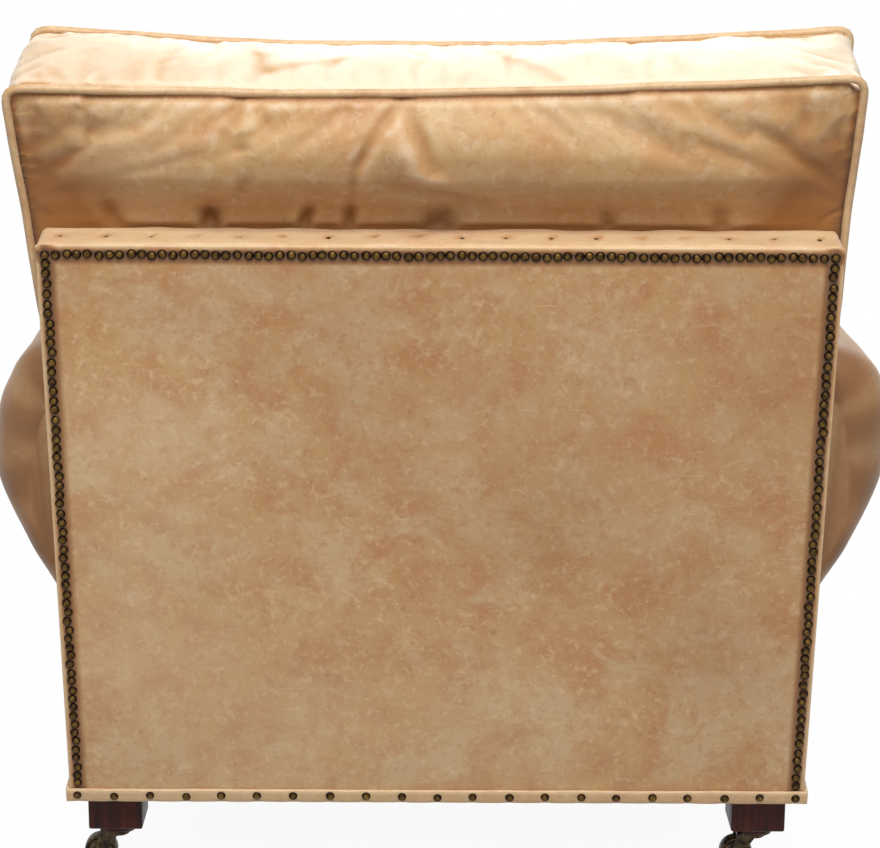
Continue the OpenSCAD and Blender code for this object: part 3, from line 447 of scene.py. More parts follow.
def smooth_line(points, pitch):
    """Even places, about one pitch apart, along a soft curve through the points."""
    knots = [Vector(p) for p in points]
    knots = [2 * knots[0] - knots[1]] + knots + [2 * knots[-1] - knots[-2]]
    fine = []
    for a, b, c, d in zip(knots, knots[1:], knots[2:], knots[3:]):
        for t in (i / 12 for i in range(12)):
            fine.append(0.5 * (2 * b + (c - a) * t + (2 * a - 5 * b + 4 * c - d) * t * t +
                               (3 * b - a - 3 * c + d) * t ** 3))
    return even_line(fine + [knots[-2]], pitch)


def inward(line):
    """The direction to the right of each place on a line, level at its two ends."""
    ways = []
    for i in range(len(line)):
        run = (line[min(i + 1, len(line) - 1)] - line[max(i - 1, 0)]).normalized()
        ways.append(Vector((run.y, -run.x)))
    return ways


def rear_face(z, depth):
    """Where along Y a plane lies that leans as the back does, that far in front of its outside."""
    return BACK_FOOT + (z - BASE) * math.tan(SLOPE) - depth / math.cos(SLOPE)


def cut_away(piece, cutter):
    """Takes a closed shape away from a piece for good."""
    tool = new_object("cutter", mesh_from("cutter", cutter))
    change = piece.modifiers.new("cut", "BOOLEAN")
    change.operation, change.object, change.solver = "DIFFERENCE", tool, "EXACT"
    settle(piece)
    bpy.data.objects.remove(tool)


def worked_out(piece):
    """The mesh that an object's modifiers or its curve give."""
    bpy.context.view_layer.update()
    return bpy.data.meshes.new_from_object(piece.evaluated_get(bpy.context.evaluated_depsgraph_get()))


def settle(piece):
    """Applies a piece's modifiers."""
    mesh = worked_out(piece)
    piece.modifiers.clear()
    piece.data = mesh


def arm_leather(side, cell):
    """One arm's cover as a closed shape, on the sitter's left for 1 and right for -1."""
    line = smooth_line([(x * MM, z * MM) for x, z in ARM_OUTLINE], cell)
    ways = inward(line)
    rows = round(ARM_LONG / cell)
    ends = 12
    bm = bmesh.new()
    bmesh.ops.create_grid(bm, x_segments=len(line) - 1, y_segments=rows + ends, size=0.5)
    bm.verts.ensure_lookup_table()
    columns = sorted({round(v.co.x, 6) for v in bm.verts})
    levels = sorted({round(v.co.y, 6) for v in bm.verts})
    column, level = {c: i for i, c in enumerate(columns)}, {c: i for i, c in enumerate(levels)}
    rim = {0: [None] * len(line), rows + ends: [None] * len(line)}
    wear_and_painted_light = bm.verts.layers.float.new("wear_and_painted_light")
    for v in bm.verts:
        i, j = column[round(v.co.x, 6)], level[round(v.co.y, 6)]
        turn = math.pi / 2 * max(0, j - rows) / ends
        # Low down, where it tucks in beside the back, its end is squarer
        inset = ARM_END * (1 - math.cos(turn)) * (0.4 + 0.6 * ease((line[i].y - 0.4) / 0.14))
        spot = line[i] + ways[i] * inset
        back = rear_face(spot.y, ARM_SET_IN + ARM_END * (1 - math.sin(turn)))
        share = min(j, rows) / rows
        y = FRAME_FRONT + (back - FRAME_FRONT) * share
        near_end = max(0, 1 - (rear_face(spot.y, ARM_SET_IN) - y) / GATHERS)
        pleat = MM * 1.3 * near_end ** 1.5 * math.sin(PLEATS * i / len(line) + 2 * swell((spot.x, spot.y, 0), 0.06))
        soft = MM * 1.6 * swell((spot.x, y, spot.y), 0.13, side) * min(1, 8 * share) * \
            min(1, (spot.y - BASE) / 0.1)
        # Towards the rear the sitter's right arm is stuffed a little fuller, and the left one slacker
        spot.x += MM * share * (7 * bell(spot.y - 0.615, 0.04) if side < 0 else -9 * bell(spot.y - 0.59, 0.07))
        spot = spot - ways[i] * (soft + pleat * min(1, 4 * (spot.y - 0.3)) * (spot.y > 0.3))
        v.co = (spot.x, y, spot.y)
        # The rear end and its gathers are painted dark as shade where the hide turns away, and the pleats by turns
        # darker and paler as painted shade and light
        v[wear_and_painted_light] = -1.0 * near_end ** 1.5 - 0.25 * near_end * math.sin(PLEATS * i / len(line)) * (spot.y > 0.3)
        if j in rim:
            rim[j][i] = v
    for end in [set(verts) for verts in rim.values()]:
        bmesh.ops.contextual_create(bm, geom=[e for e in bm.edges if e.is_boundary and set(e.verts) <= end])
    bmesh.ops.holes_fill(bm, edges=[e for e in bm.edges if e.is_boundary], sides=0)
    if side < 0:
        bm.transform(Matrix.Diagonal((-1, 1, 1, 1)))
    bmesh.ops.recalc_face_normals(bm, faces=bm.faces[:])
    return bm


for side, word in SIDES:
    arm = make_piece(word + "_arm_leather", arm_leather(side, 8 * MM), word + "_arm_cover", word + "_arm_padding")
    # The back stands in this room, and the arm's cover fits round it
    room = bmesh.new()
    bmesh.ops.create_cube(room, size=1, matrix=LEAN @ Matrix.Translation((0, 0, 0.26)) @
                          Matrix.Diagonal((2 * BACK_HALF + 0.8 * MM, 2 * BACK_DEEP + 0.8 * MM, 0.83, 1)))
    cut_away(arm, room)

# The arm facings: thin padded boards cut to the arm's outline, covered in leather and nailed all round.
# The border under the seat is the same leather over a thin pad.
FACING_FRONT = -442.8 * MM
BORDER_HALF = 286.7 * MM
DECK_TOP = 0.29


def facing_leather(cell):
    """The left facing: its outline as one face, brought forward in steps. It stays a flat plate: the
    rings of a rounded rim and a low crown would need use_boundary=True here."""
    line = smooth_line([(x * MM, z * MM) for x, z in ARM_OUTLINE], cell)
    bm = bmesh.new()
    rim = [bm.verts.new((p.x + w.x * 3.2 * MM, FRAME_FRONT, p.y + w.y * 3.2 * MM))
           for p, w in zip(line, inward(line))]
    face = bm.faces.new(rim)
    face.normal_update()
    if face.normal.y > 0:
        face.normal_flip()
    for inset, rise in ((0, 8.5), (1, 2.5), (2.3, 1), (3.5, -0.4), (6, 0.8), (10, 0.8), (14, 0.6)):
        bmesh.ops.inset_region(bm, faces=[face], thickness=inset * MM, depth=rise * MM, use_even_offset=True)
    bmesh.ops.holes_fill(bm, edges=[e for e in bm.edges if e.is_boundary], sides=0)
    bmesh.ops.recalc_face_normals(bm, faces=bm.faces[:])
    return bm


for side, word in SIDES:
    bm = facing_leather(8 * MM)
    if side < 0:
        bm.transform(Matrix.Diagonal((-1, 1, 1, 1)))
        bmesh.ops.recalc_face_normals(bm, faces=bm.faces[:])
    facing = make_piece(word + "_facing_leather", bm, word + "_arm_facing")

bm = padded_box((-BORDER_HALF, FACING_FRONT, BASE), (BORDER_HALF, FRAME_FRONT - 0.1 * MM, DECK_TOP), 5 * MM, 9 * MM)
for v in bm.verts:
    if v.co.y < FACING_FRONT + 1 * MM:
        inner = min(BORDER_HALF - abs(v.co.x), v.co.z - BASE, DECK_TOP - v.co.z) / (30 * MM)
        v.co.y += MM * (0.6 * swell(v.co, 0.07, 4) - 1.2 * min(1, inner))
border = make_piece("front_border_leather", bm, "front_border")

# The base strip: a narrow band of the same leather round the foot of the upholstery, held by spaced nails.
STRIP_HIGH = 16 * MM
STRIP_THICK = 4 * MM
STRIP_PITCH = 41 * MM
ARM_OUT = 410 * MM
CLEAR = 0.1 * MM
REAR_ROW = spread(-409 * MM, 409 * MM, STRIP_PITCH)
FRONT_ROW = spread(-400 * MM, 400 * MM, STRIP_PITCH)
SIDE_ROW = spread(FACING_FRONT + 10 * MM, BACK_FOOT - 70 * MM, STRIP_PITCH)


def strip(low, high, axis, row, out, place=None):
    """A length of the strip along an axis, drawn down a little at each nail on its outer side."""
    bm = padded_box(low, high, 1.7 * MM, 4 * MM, 2)
    wear_and_painted_light = bm.verts.layers.float.new("wear_and_painted_light")
    for v in bm.verts:
        # A paler tone all over, with its top edge painted paler still as a highlight
        v[wear_and_painted_light] = 0.45 + 0.4 * (v.co.z > high[2] - 3 * MM)
        near = min(abs(v.co[axis] - n) for n in row) if row else 1
        puff = MM * (0.5 - 0.9 * bell(near, 7 * MM)) + 0.3 * MM * swell(v.co, 0.03, 6)
        if out.dot(v.co - (Vector(low) + Vector(high)) / 2) > 1.2 * MM:
            v.co += out * puff
        if v.co.z > high[2] - 2 * MM:
            v.co.z += 0.4 * MM * swell(v.co, 0.05, 8)
    if place:
        bm.transform(place)
    return bm


def join(parts):
    """One bmesh made of several."""
    whole = bmesh.new()
    for part in parts:
        mesh = mesh_from("part", part)
        whole.from_mesh(mesh)
        bpy.data.meshes.remove(mesh)
    return whole


rear_end, front_end = BACK_HALF + STRIP_THICK, ARM_OUT + STRIP_THICK
lengths = [strip((-rear_end, CLEAR, 0), (rear_end, STRIP_THICK, STRIP_HIGH), 0, REAR_ROW, Vector((0, 1, 0)), LEAN),
           strip((-front_end, FACING_FRONT - STRIP_THICK, BASE), (front_end, FACING_FRONT - CLEAR, BASE + STRIP_HIGH),
                 0, FRONT_ROW, Vector((0, -1, 0)))]
for s in (1, -1):
    sides = [(BACK_HALF + CLEAR, rear_end), (ARM_OUT + CLEAR, front_end)]
    (a, b), (c, d) = [sorted((s * p, s * q)) for p, q in sides]
    lengths.append(strip((a, -BACK_DEEP, 0), (b, CLEAR, STRIP_HIGH), 1, [], Vector((s, 0, 0)), LEAN))
    lengths.append(strip((c, FACING_FRONT, BASE), (d, rear_face(BASE, BACK_DEEP), BASE + STRIP_HIGH), 1, SIDE_ROW,
                         Vector((s, 0, 0))))
make_piece("base_strip_leather", join(lengths), "base_strip")

# The nails: domed antique-brass heads on steel shanks, driven by hand edge to edge along the outside
# back and the facings, and spaced along the base strip. The brass is brown with age between its high
# spots, where it is rubbed bright.
NAIL_HEAD = 5.2 * MM
NAIL_HIGH = 3.6 * MM
chance = random.Random(4)


def old_brass():
    """Antique brass: dark in the low parts, and rubbed to a warm yellow on the crown of each head."""
    material, tree, shader = new_finish("antique_brass")
    place = add(tree, "TexCoord", out="Object")
    crown = add(tree, "Attribute", out="Fac", attribute_name="crown", attribute_type="GEOMETRY")
    stain = add(tree, "TexNoise", {"Vector": place, "Scale": 1 / (6 * MM), "Detail": 3.0})
    rubbed = add(tree, "Math", {0: crown, 1: add(tree, "MapRange", {"Value": stain, "To Min": 0.3, "To Max": 1.3})},
                 operation="MULTIPLY")
    rubbed = add(tree, "MapRange", {"Value": rubbed, "From Min": 0.5, "From Max": 1.05})
    tone = add(tree, "Mix", {FACTOR: rubbed, COLOUR_A: linear("#20140a"), COLOUR_B: linear("#85652f")}, **BLEND)
    gloss = add(tree, "MapRange", {"Value": rubbed, "To Min": 0.5, "To Max": 0.24})
    feed(shader, {"Base Color": tone, "Roughness": gloss, "Metallic": 0.9})
    return material


brass = old_brass()


def nail_heads(name, replaced, spots, head=NAIL_HEAD, high=NAIL_HIGH):
    """Heads at places, each with the way it faces, set a little askew as hand-driven nails are."""
    bm = bmesh.new()
    crown = bm.verts.layers.float.new("crown")
    for spot, out in spots:
        made = bmesh.ops.create_uvsphere(bm, u_segments=12, v_segments=8, radius=1)["verts"]
        low = [v for v in made if v.co.z < -0.2]
        bmesh.ops.delete(bm, geom=low, context="VERTS")
        made = [v for v in made if v.is_valid]
        for v in made:
            v[crown] = max(0, v.co.z)
        tilt = Vector(out) + Vector([chance.uniform(-0.12, 0.12) for _ in range(3)])
        drift = Vector([chance.uniform(-1.1, 1.1) * MM for _ in range(3)])
        drift -= drift.project(Vector(out))
        size = head * chance.uniform(0.96, 1.03)
        bmesh.ops.transform(bm, verts=made, matrix=Matrix.Translation(Vector(spot) + drift - Vector(out) * 0.5 * MM) @
                            tilt.to_track_quat("Z", "Y").to_matrix().to_4x4() @
                            Matrix.Diagonal((size, size, high, 1)))
    bmesh.ops.holes_fill(bm, edges=[e for e in bm.edges if e.is_boundary], sides=0)
    return make_piece(name, bm, replaced, material=brass, slot="antique_brass", sharp=70)


def on_back(x, y, z, way):
    """A place on the leaning back, and the way a nail there faces."""
    return LEAN @ Vector((x, y, z)), LEAN.to_3x3() @ Vector(way)


OUT = (0, 1, 0)
ROW_X = BACK_HALF - NAIL_ROW
ROW_Z = BACK_TOP - NAIL_ROW
ROW_START = 22.3 * MM
nail_heads("back_top_nail_heads", "back_top_nails",
           [on_back(x, 0, ROW_Z, OUT) for x in spread(-ROW_X, ROW_X, NAIL_PITCH)])
nail_heads("back_side_nail_heads", "back_side_nails",
           [on_back(s * ROW_X, 0, z, OUT) for s in (1, -1) for z in spread(ROW_START, ROW_Z, NAIL_PITCH)[:-1]])
line = smooth_line([(x * MM, z * MM) for x, z in ARM_OUTLINE], 8 * MM)
row = [p + w * NAIL_ROW for p, w in zip(line, inward(line)) if p.y > BASE + ROW_START]
row = smooth_line(row, NAIL_PITCH)
for s, word in SIDES:
    nail_heads(word + "_facing_nail_heads", word + "_facing_nails",
               [((s * p.x, FACING_FRONT, p.y), (0, -1, 0)) for p in row])
spots = [on_back(x, STRIP_THICK, STRIP_HIGH / 2, OUT) for x in REAR_ROW]
spots += [((x, FACING_FRONT - STRIP_THICK, BASE + STRIP_HIGH / 2), (0, -1, 0)) for x in FRONT_ROW]
spots += [((s * front_end, y, BASE + STRIP_HIGH / 2), (s, 0, 0)) for s in (1, -1) for y in SIDE_ROW]
nail_heads("base_strip_nail_heads", "base_strip_nails", spots)
nail_heads("rail_tack_heads", "rail_top_tacks",
           [on_back(x, -BACK_DEEP / 2, BACK_TOP - 1 * MM, (0, 0, 1)) for x in TACKS], 2.6 * MM, 1.2 * MM)

# The seat deck under the loose cushion: a thin pad over the hessian, covered in the same leather.
DECK_HALF = 283.6 * MM
DECK_FRONT = FRAME_FRONT + 0.2 * MM
bm = padded_box((-DECK_HALF, DECK_FRONT, 257.6 * MM), (DECK_HALF, 0, DECK_TOP), 4 * MM, 14 * MM, 2)
for v in bm.verts:
    share = 1 - v.co.y / DECK_FRONT
    v.co.y = DECK_FRONT + share * (rear_face(v.co.z, BACK_DEEP + 0.4 * MM) - DECK_FRONT)
    if v.co.z > DECK_TOP - 1 * MM:
        v.co.z -= MM * (1 + 0.8 * swell(v.co, 0.1, 9))
deck = make_piece("seat_deck_leather", bm, "seat_deck_cover", "seat_deck_pad")

# The cushions: loose box cushions, each a filling in a leather cover of panels and a boxing strip, with
# piping sewn into both seams. The filling blows the panels up between the seams and the leather
# creases, so each cover is simulated as cloth under pressure, held along its seams.
# Its palest tone, near white, serves the pale scuffs and the painted highlight on the back cushion's top; its darkest
# serves dark specks and painted shade
cushion_hide = waxed_leather("creased_buff_leather", ("#c09867", "#b98a59", "#c4a176", "#efe0c8", "#8d5820"),
                             80 * MM, 0.58, 0.6 * MM, 0.22)
piping_hide = waxed_leather("rolled_piping_leather", ("#c8a67b", "#bc9266", "#ccab82", "#e6d0b0", "#8d6238"),
                            60 * MM, 0.48, 0.5 * MM, 0.5)
CUSHION_CELL = 6.5 * MM
# In mm: how far the piping reaches past a seam, the gap a cushion stands off with, and the arms' height
PIPE_REACH = 6.41
GAP = 0.3
ARM_TOP = 648
# How far from the middle a cushion may swell between the arms
ARM_INSIDE = 283.4 * MM


def search_tree(places):
    """Finds the nearest of these places."""
    near = kdtree.KDTree(len(places))
    for i, p in enumerate(places):
        near.insert(p, i)
    near.balance()
    return near


def pulls(cover, places):
    """From the nearest point of a cover to each of these places on its seams."""
    hide = search_tree([v.co for v in cover.data.vertices])
    return [p - hide.find(p)[0] for p in places]


def stuffed(name, node, seams, place, slack, cap):
    """A cushion's cover: the CAD filling, slimmed across its thickness by the slack and swollen again by
    pressure between its held seams, never quite moving as far as the cap."""
    bm = bmesh.new()
    bm.from_mesh(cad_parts[node].data)
    bmesh.ops.remove_doubles(bm, verts=bm.verts[:], dist=0.01 * MM)
    bmesh.ops.recalc_face_normals(bm, faces=bm.faces[:])
    cover = new_object(name, mesh_from(name, bm))
    remesh = cover.modifiers.new("remesh", "REMESH")
    remesh.mode, remesh.voxel_size = "VOXEL", CUSHION_CELL
    settle(cover)
    places = [p for seam in seams for p in seam]
    near = search_tree(places)
    pull = pulls(cover, places)
    upright = place.inverted()
    spots = [upright @ v.co for v in cover.data.vertices]
    low, high = [Vector([ends([p[k] for p in spots]) for k in range(3)]) for ends in (min, max)]
    held = cover.vertex_groups.new(name="seam")
    for v, p in zip(cover.data.vertices, spots):
        _, i, gap = near.find(v.co)
        slim = Vector([slack[k] * (2 * p[k] - low[k] - high[k]) / (high[k] - low[k]) for k in range(3)])
        v.co += pull[i] * bell(gap, 34 * MM)
        v.co -= place.to_3x3() @ slim * (1 - bell(gap, 45 * MM))
        if gap < 40 * MM:
            gap = near.find(v.co)[2]
            held.add([v.index], max(0.0, min(1.0, 2.2 - gap / (6 * MM))), "REPLACE")
    start = [v.co.copy() for v in cover.data.vertices]
    cloth = cover.modifiers.new("cloth", "CLOTH")
    work = cloth.settings
    work.quality, work.mass, work.air_damping = 6, 0.35, 2.0
    work.tension_stiffness = work.compression_stiffness = 18
    work.shear_stiffness, work.bending_stiffness = 6, 1.5
    work.use_pressure, work.uniform_pressure_force = True, 4
    work.shrink_min = -0.012
    work.vertex_group_mass = "seam"
    work.effector_weights.gravity = 0
    cloth.collision_settings.use_collision = False
    for i in range(1, 21):
        scene.frame_set(i)
    settle(cover)
    scene.frame_set(1)
    for v, p in zip(cover.data.vertices, start):
        move = v.co - p
        v.co = p + move.normalized() * cap * math.tanh(move.length / cap)
    finer = cover.modifiers.new("finer", "SUBSURF")
    finer.levels = finer.render_levels = 1
    settle(cover)
    # It is sewn close to its piping all round, and dips beside it
    pull = pulls(cover, places)
    for v in cover.data.vertices:
        _, i, gap = near.find(v.co)
        if gap < 30 * MM:
            v.co += pull[i] * bell(gap, 12 * MM)
    for v, out in [(v, v.normal.copy()) for v in cover.data.vertices]:
        v.co -= out * 2.8 * MM * bell(near.find(v.co)[2] - 7.5 * MM, 4 * MM)
    return cover


def loop_near(loop, pitch):
    """Even places round a closed loop near the points, with its bends eased."""
    line = even_line(loop + [loop[0]], pitch)[:-1]
    for _ in range(2):
        line = [(line[i - 1] + 2 * p + line[(i + 1) % len(line)]) / 4 for i, p in enumerate(line)]
    return line


def rounded(corners, radius, steps=4):
    """A closed outline with its corners cut to short arcs."""
    line = []
    count = len(corners)
    for i, b in enumerate(corners):
        a, c = corners[i - 1], corners[(i + 1) % count]
        into, out = (a - b), (c - b)
        r = min(radius, 0.45 * into.length, 0.45 * out.length)
        p, q = b + into.normalized() * r, b + out.normalized() * r
        line += [p.lerp(b, t).lerp(b.lerp(q, t), t) for t in (k / steps for k in range(steps + 1))]
    return line


def piping(name, replaced, loops, body, radius=4.5 * MM):
    """Cord in a folded strip of leather, sewn round each loop."""
    parts = []
    for loop in loops:
        curve = bpy.data.curves.new(name, "CURVE")
        curve.dimensions, curve.bevel_depth, curve.bevel_resolution = "3D", radius, 3
        spline = curve.splines.new("POLY")
        spline.points.add(len(loop) - 1)
        spline.use_cyclic_u = True
        for point, p in zip(spline.points, loop):
            point.co = (*p, 1)
            point.radius = 1 + 0.05 * swell(p, 0.03, 11)
        holder = new_object(name, curve)
        mesh = worked_out(holder)
        bm = bmesh.new()
        bm.from_mesh(mesh)
        parts.append(bm)
        bpy.data.objects.remove(holder)
        bpy.data.meshes.remove(mesh)
    return make_piece(name, join(parts), replaced, material=piping_hide, body=body, slot="piping_leather", sharp=80)


def wobble(loop, most, size, seed):
    """A sewn seam is never quite straight."""
    return [p + Vector([MM * most * swell(p, size, seed + k) for k in range(3)]) for p in loop]


def crease_light_and_shade(mesh, reach, seams):
    """Sets the attribute from the shape: ridges paler, partly as stretched hide pales and partly as painted light,
    hollows darker as painted shade, and a painted shadow line beside each seam under its piping.
    """
    bm = bmesh.new()
    bm.from_mesh(mesh)
    wear_and_painted_light = bm.verts.layers.float.get("wear_and_painted_light") or bm.verts.layers.float.new("wear_and_painted_light")
    near = search_tree([p for seam in seams for p in seam])
    bend = {}
    for v in bm.verts:
        ring = [e.other_vert(v).co for e in v.link_edges]
        bend[v] = (sum(ring, Vector()) / len(ring) - v.co).dot(v.normal)
    for _ in range(2):
        bend = {v: (bend[v] + sum(bend[e.other_vert(v)] for e in v.link_edges)) / (1 + len(v.link_edges))
                for v in bm.verts}
    for v in bm.verts:
        gap = near.find(v.co)[2]
        v[wear_and_painted_light] = max(-1, min(0.85, v[wear_and_painted_light] - bend[v] / reach)) - 1.1 * bell(gap - 5 * MM, 3 * MM)
    bm.to_mesh(mesh)
    bm.free()


def dress_cushion(cover, seams, body, *replaced):
    """Finishes a cushion's cover as a piece."""
    for face in cover.data.polygons:
        face.use_smooth = True
    cover.data.materials.clear()
    cover.data.materials.append(cushion_hide)
    crease_light_and_shade(cover.data, 0.55 * MM, seams)
    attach(cover, body)
    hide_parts(*replaced)


# The seat cushion stands on the deck between the arms, crowned in front and flat where the back
# cushion stands on it.
SEAT_HALF = (284 - 2 - PIPE_REACH) * MM
SEAT_LOW = (290 + GAP + PIPE_REACH) * MM
SEAT_HIGH = SEAT_LOW + 122 * MM
SEAT_FRONT = FACING_FRONT + (6 + PIPE_REACH) * MM
SEAT_REAR = rear_face(DECK_TOP, BACK_DEEP + GAP * MM) - PIPE_REACH * MM
# The piping's middle lies this far outside the seam, across and along
OFF = 1.9 * MM


def seat_seam(z):
    """The seam round the seat cushion's panel at that height."""
    half, front, rear = SEAT_HALF + OFF, SEAT_FRONT - OFF, SEAT_REAR + OFF
    corners = [Vector((x, y, z)) for x, y in ((-half, front), (half, front), (half, rear), (-half, rear))]
    return loop_near(rounded(corners, 14 * MM), 7 * MM)


seat_loops = [wobble(seat_seam(z), 0.9, 0.09, 13) for z in (SEAT_LOW - OFF, SEAT_HIGH + OFF)]
seat = stuffed("seat_cushion_leather", "seat_cushion_filling", seat_loops, Matrix(), (0, 3 * MM, 13 * MM), 28 * MM)
for v in seat.data.vertices:
    v.co.z = max(v.co.z, DECK_TOP + 0.2 * MM)
    # The back cushion presses it flat where it stands on it
    pressed = min(1, max(0, (v.co.y - (SEAT_REAR - 165 * MM)) / (30 * MM)))
    v.co.z += (min(v.co.z, SEAT_HIGH + 3 * MM) - v.co.z) * pressed
    v.co.x = max(-ARM_INSIDE, min(ARM_INSIDE, v.co.x))
    v.co.y = max(v.co.y, FACING_FRONT - 4 * MM)
dress_cushion(seat, seat_loops, "seat_cushion", "seat_cushion_cover", "seat_cushion_filling")
piping("seat_cushion_piping_leather", "seat_cushion_piping", seat_loops, "seat_cushion")

# The back cushion stands on the seat cushion and leans on the back. Its lower part fits between the
# arms, its ears stand over them, and it rises well above the frame's top rail.
STEM_HALF = 275.6 * MM
EAR_HALF = 423.5 * MM
CUSHION_THICK = 150 * MM
REAR_Y = -(60 + GAP + PIPE_REACH) * MM
FRONT_Y = REAR_Y - CUSHION_THICK
CUSHION_LOW = SEAT_HIGH + (2 * PIPE_REACH + GAP) * MM
EAR_LOW = (ARM_TOP + 2 + PIPE_REACH) * MM
# In mm, how far it rises above the back, and how far its upper part leans further back than the rest
RISE = 160
TIPPED = 26 * MM


def up_slope(z, depth):
    """How far up the back's slope a depth in front of it is at height z."""
    return (z - BASE + depth * math.sin(SLOPE)) / math.cos(SLOPE)


def cushion_seam(front):
    """The seam round the back cushion's front or rear panel, in the chair's frame."""
    depth = FRONT_Y if front else REAR_Y
    low, ear = up_slope(CUSHION_LOW, depth), up_slope(EAR_LOW, depth) + 2 * MM
    top = BACK_TOP + (RISE + (16 if front else 0)) * MM
    rail = BACK_TOP + 6.7 * MM

    def spot(x, z, side, out_x, out_z):
        e = (z - ear) / (top - ear)
        t = max(0, (z - (ear if front else rail)) / (top - (ear if front else rail)))
        y = depth + TIPPED * ease(e if front else t)
        wide = 16 * MM * max(0, e) if abs(x) > 300 * MM else 0
        # It stands a little askew: its rear top edge to the sitter's left, and lower there
        skew = MM * (-1 if front else 7) * max(0, e)
        across = side * x / EAR_HALF
        lift = MM * max(0, e) * (max(0, -5 * across) if front else min(9, 3 - 8 * across))
        return Vector((side * (x + wide + out_x * OFF) + skew, y + (-OFF if front else OFF), z + out_z * OFF + lift))

    dish = (17 if front else 11) * MM
    halves = {}
    for side in (1, -1):
        outline = [spot(STEM_HALF, low, side, 1, -1), spot(STEM_HALF, (low + ear) / 2, side, 1, 0),
                   spot(STEM_HALF, ear, side, 1, -1), spot(EAR_HALF, ear, side, 1, -1)]
        outline += [spot(EAR_HALF, ear + (top - ear) * k / 4, side, 1, 0) for k in (1, 2, 3)]
        outline += [spot(EAR_HALF, top, side, 1, 1)]
        halves[side] = outline + [spot(EAR_HALF * k / 5, top - dish * (1 - (k / 5) ** 2), side, 0, 1)
                                  for k in (4, 3, 2, 1)]
    line = rounded(halves[1] + [spot(0, top - dish, 1, 0, 1)] + halves[-1][::-1], 13 * MM)
    return [LEAN @ p for p in loop_near(line, 7 * MM)]


back_loops = [wobble(cushion_seam(front), 1.1, 0.1, 17) for front in (False, True)]
cushion = stuffed("back_cushion_leather", "back_cushion_filling", back_loops, LEAN, (-4 * MM, 10 * MM, 0), 30 * MM)

# Folds on its rear face where the filling has shifted, each as two ends (x, z on the back), width and
# depth. A negative depth is a ridge. Along the top rail they end in pinches.
FOLDS = [((39, 821), (72, 778), 7, 4), ((72, 778), (89, 746), 6, 5), ((89, 746), (93, 712), 7, 3),
         ((36, 812), (8, 750), 9, 6), ((62, 729), (-48, 706), 11, 9), ((50, 785), (18, 738), 16, -7),
         ((40, 745), (-30, 722), 9, -4), ((202, 821), (218, 790), 8, 5), ((218, 790), (226, 770), 9, 2),
         ((190, 800), (196, 760), 16, -3), ((205, 775), (203, 763), 10, 3), ((199, 741), (210, 715), 8, 4),
         ((243, 668), (243, 698), 12, 14), ((146, 668), (136, 700), 8, 9), ((97, 668), (94, 702), 8, 8),
         ((15, 668), (-15, 695), 16, 10), ((190, 815), (175, 790), 8, 3), ((93, 815), (97, 795), 8, 3),
         ((-180, 668), (-172, 696), 10, 5), ((-300, 668), (-290, 700), 12, 6), ((-390, 815), (-350, 770), 12, 3),
         ((340, 668), (352, 705), 12, 6), ((395, 810), (350, 770), 12, 3)]
# And folds on its top, as two ends (x and y there) and width, which are only painted on as shade
PAINTED_TOP_FOLDS = [((205, -157), (180, -83), 9), ((180, -83), (103, -112), 9), ((-120, -60), (-60, -130), 10)]


def line_gap(u, v, a, b):
    """How far a place lies from the line between two ends, and how far along it the nearest place is."""
    way = Vector(b) - Vector(a)
    t = max(0, min(1, (Vector((u, v)) - Vector(a)).dot(way) / way.length_squared))
    return (Vector((u, v)) - Vector(a) - way * t).length, t


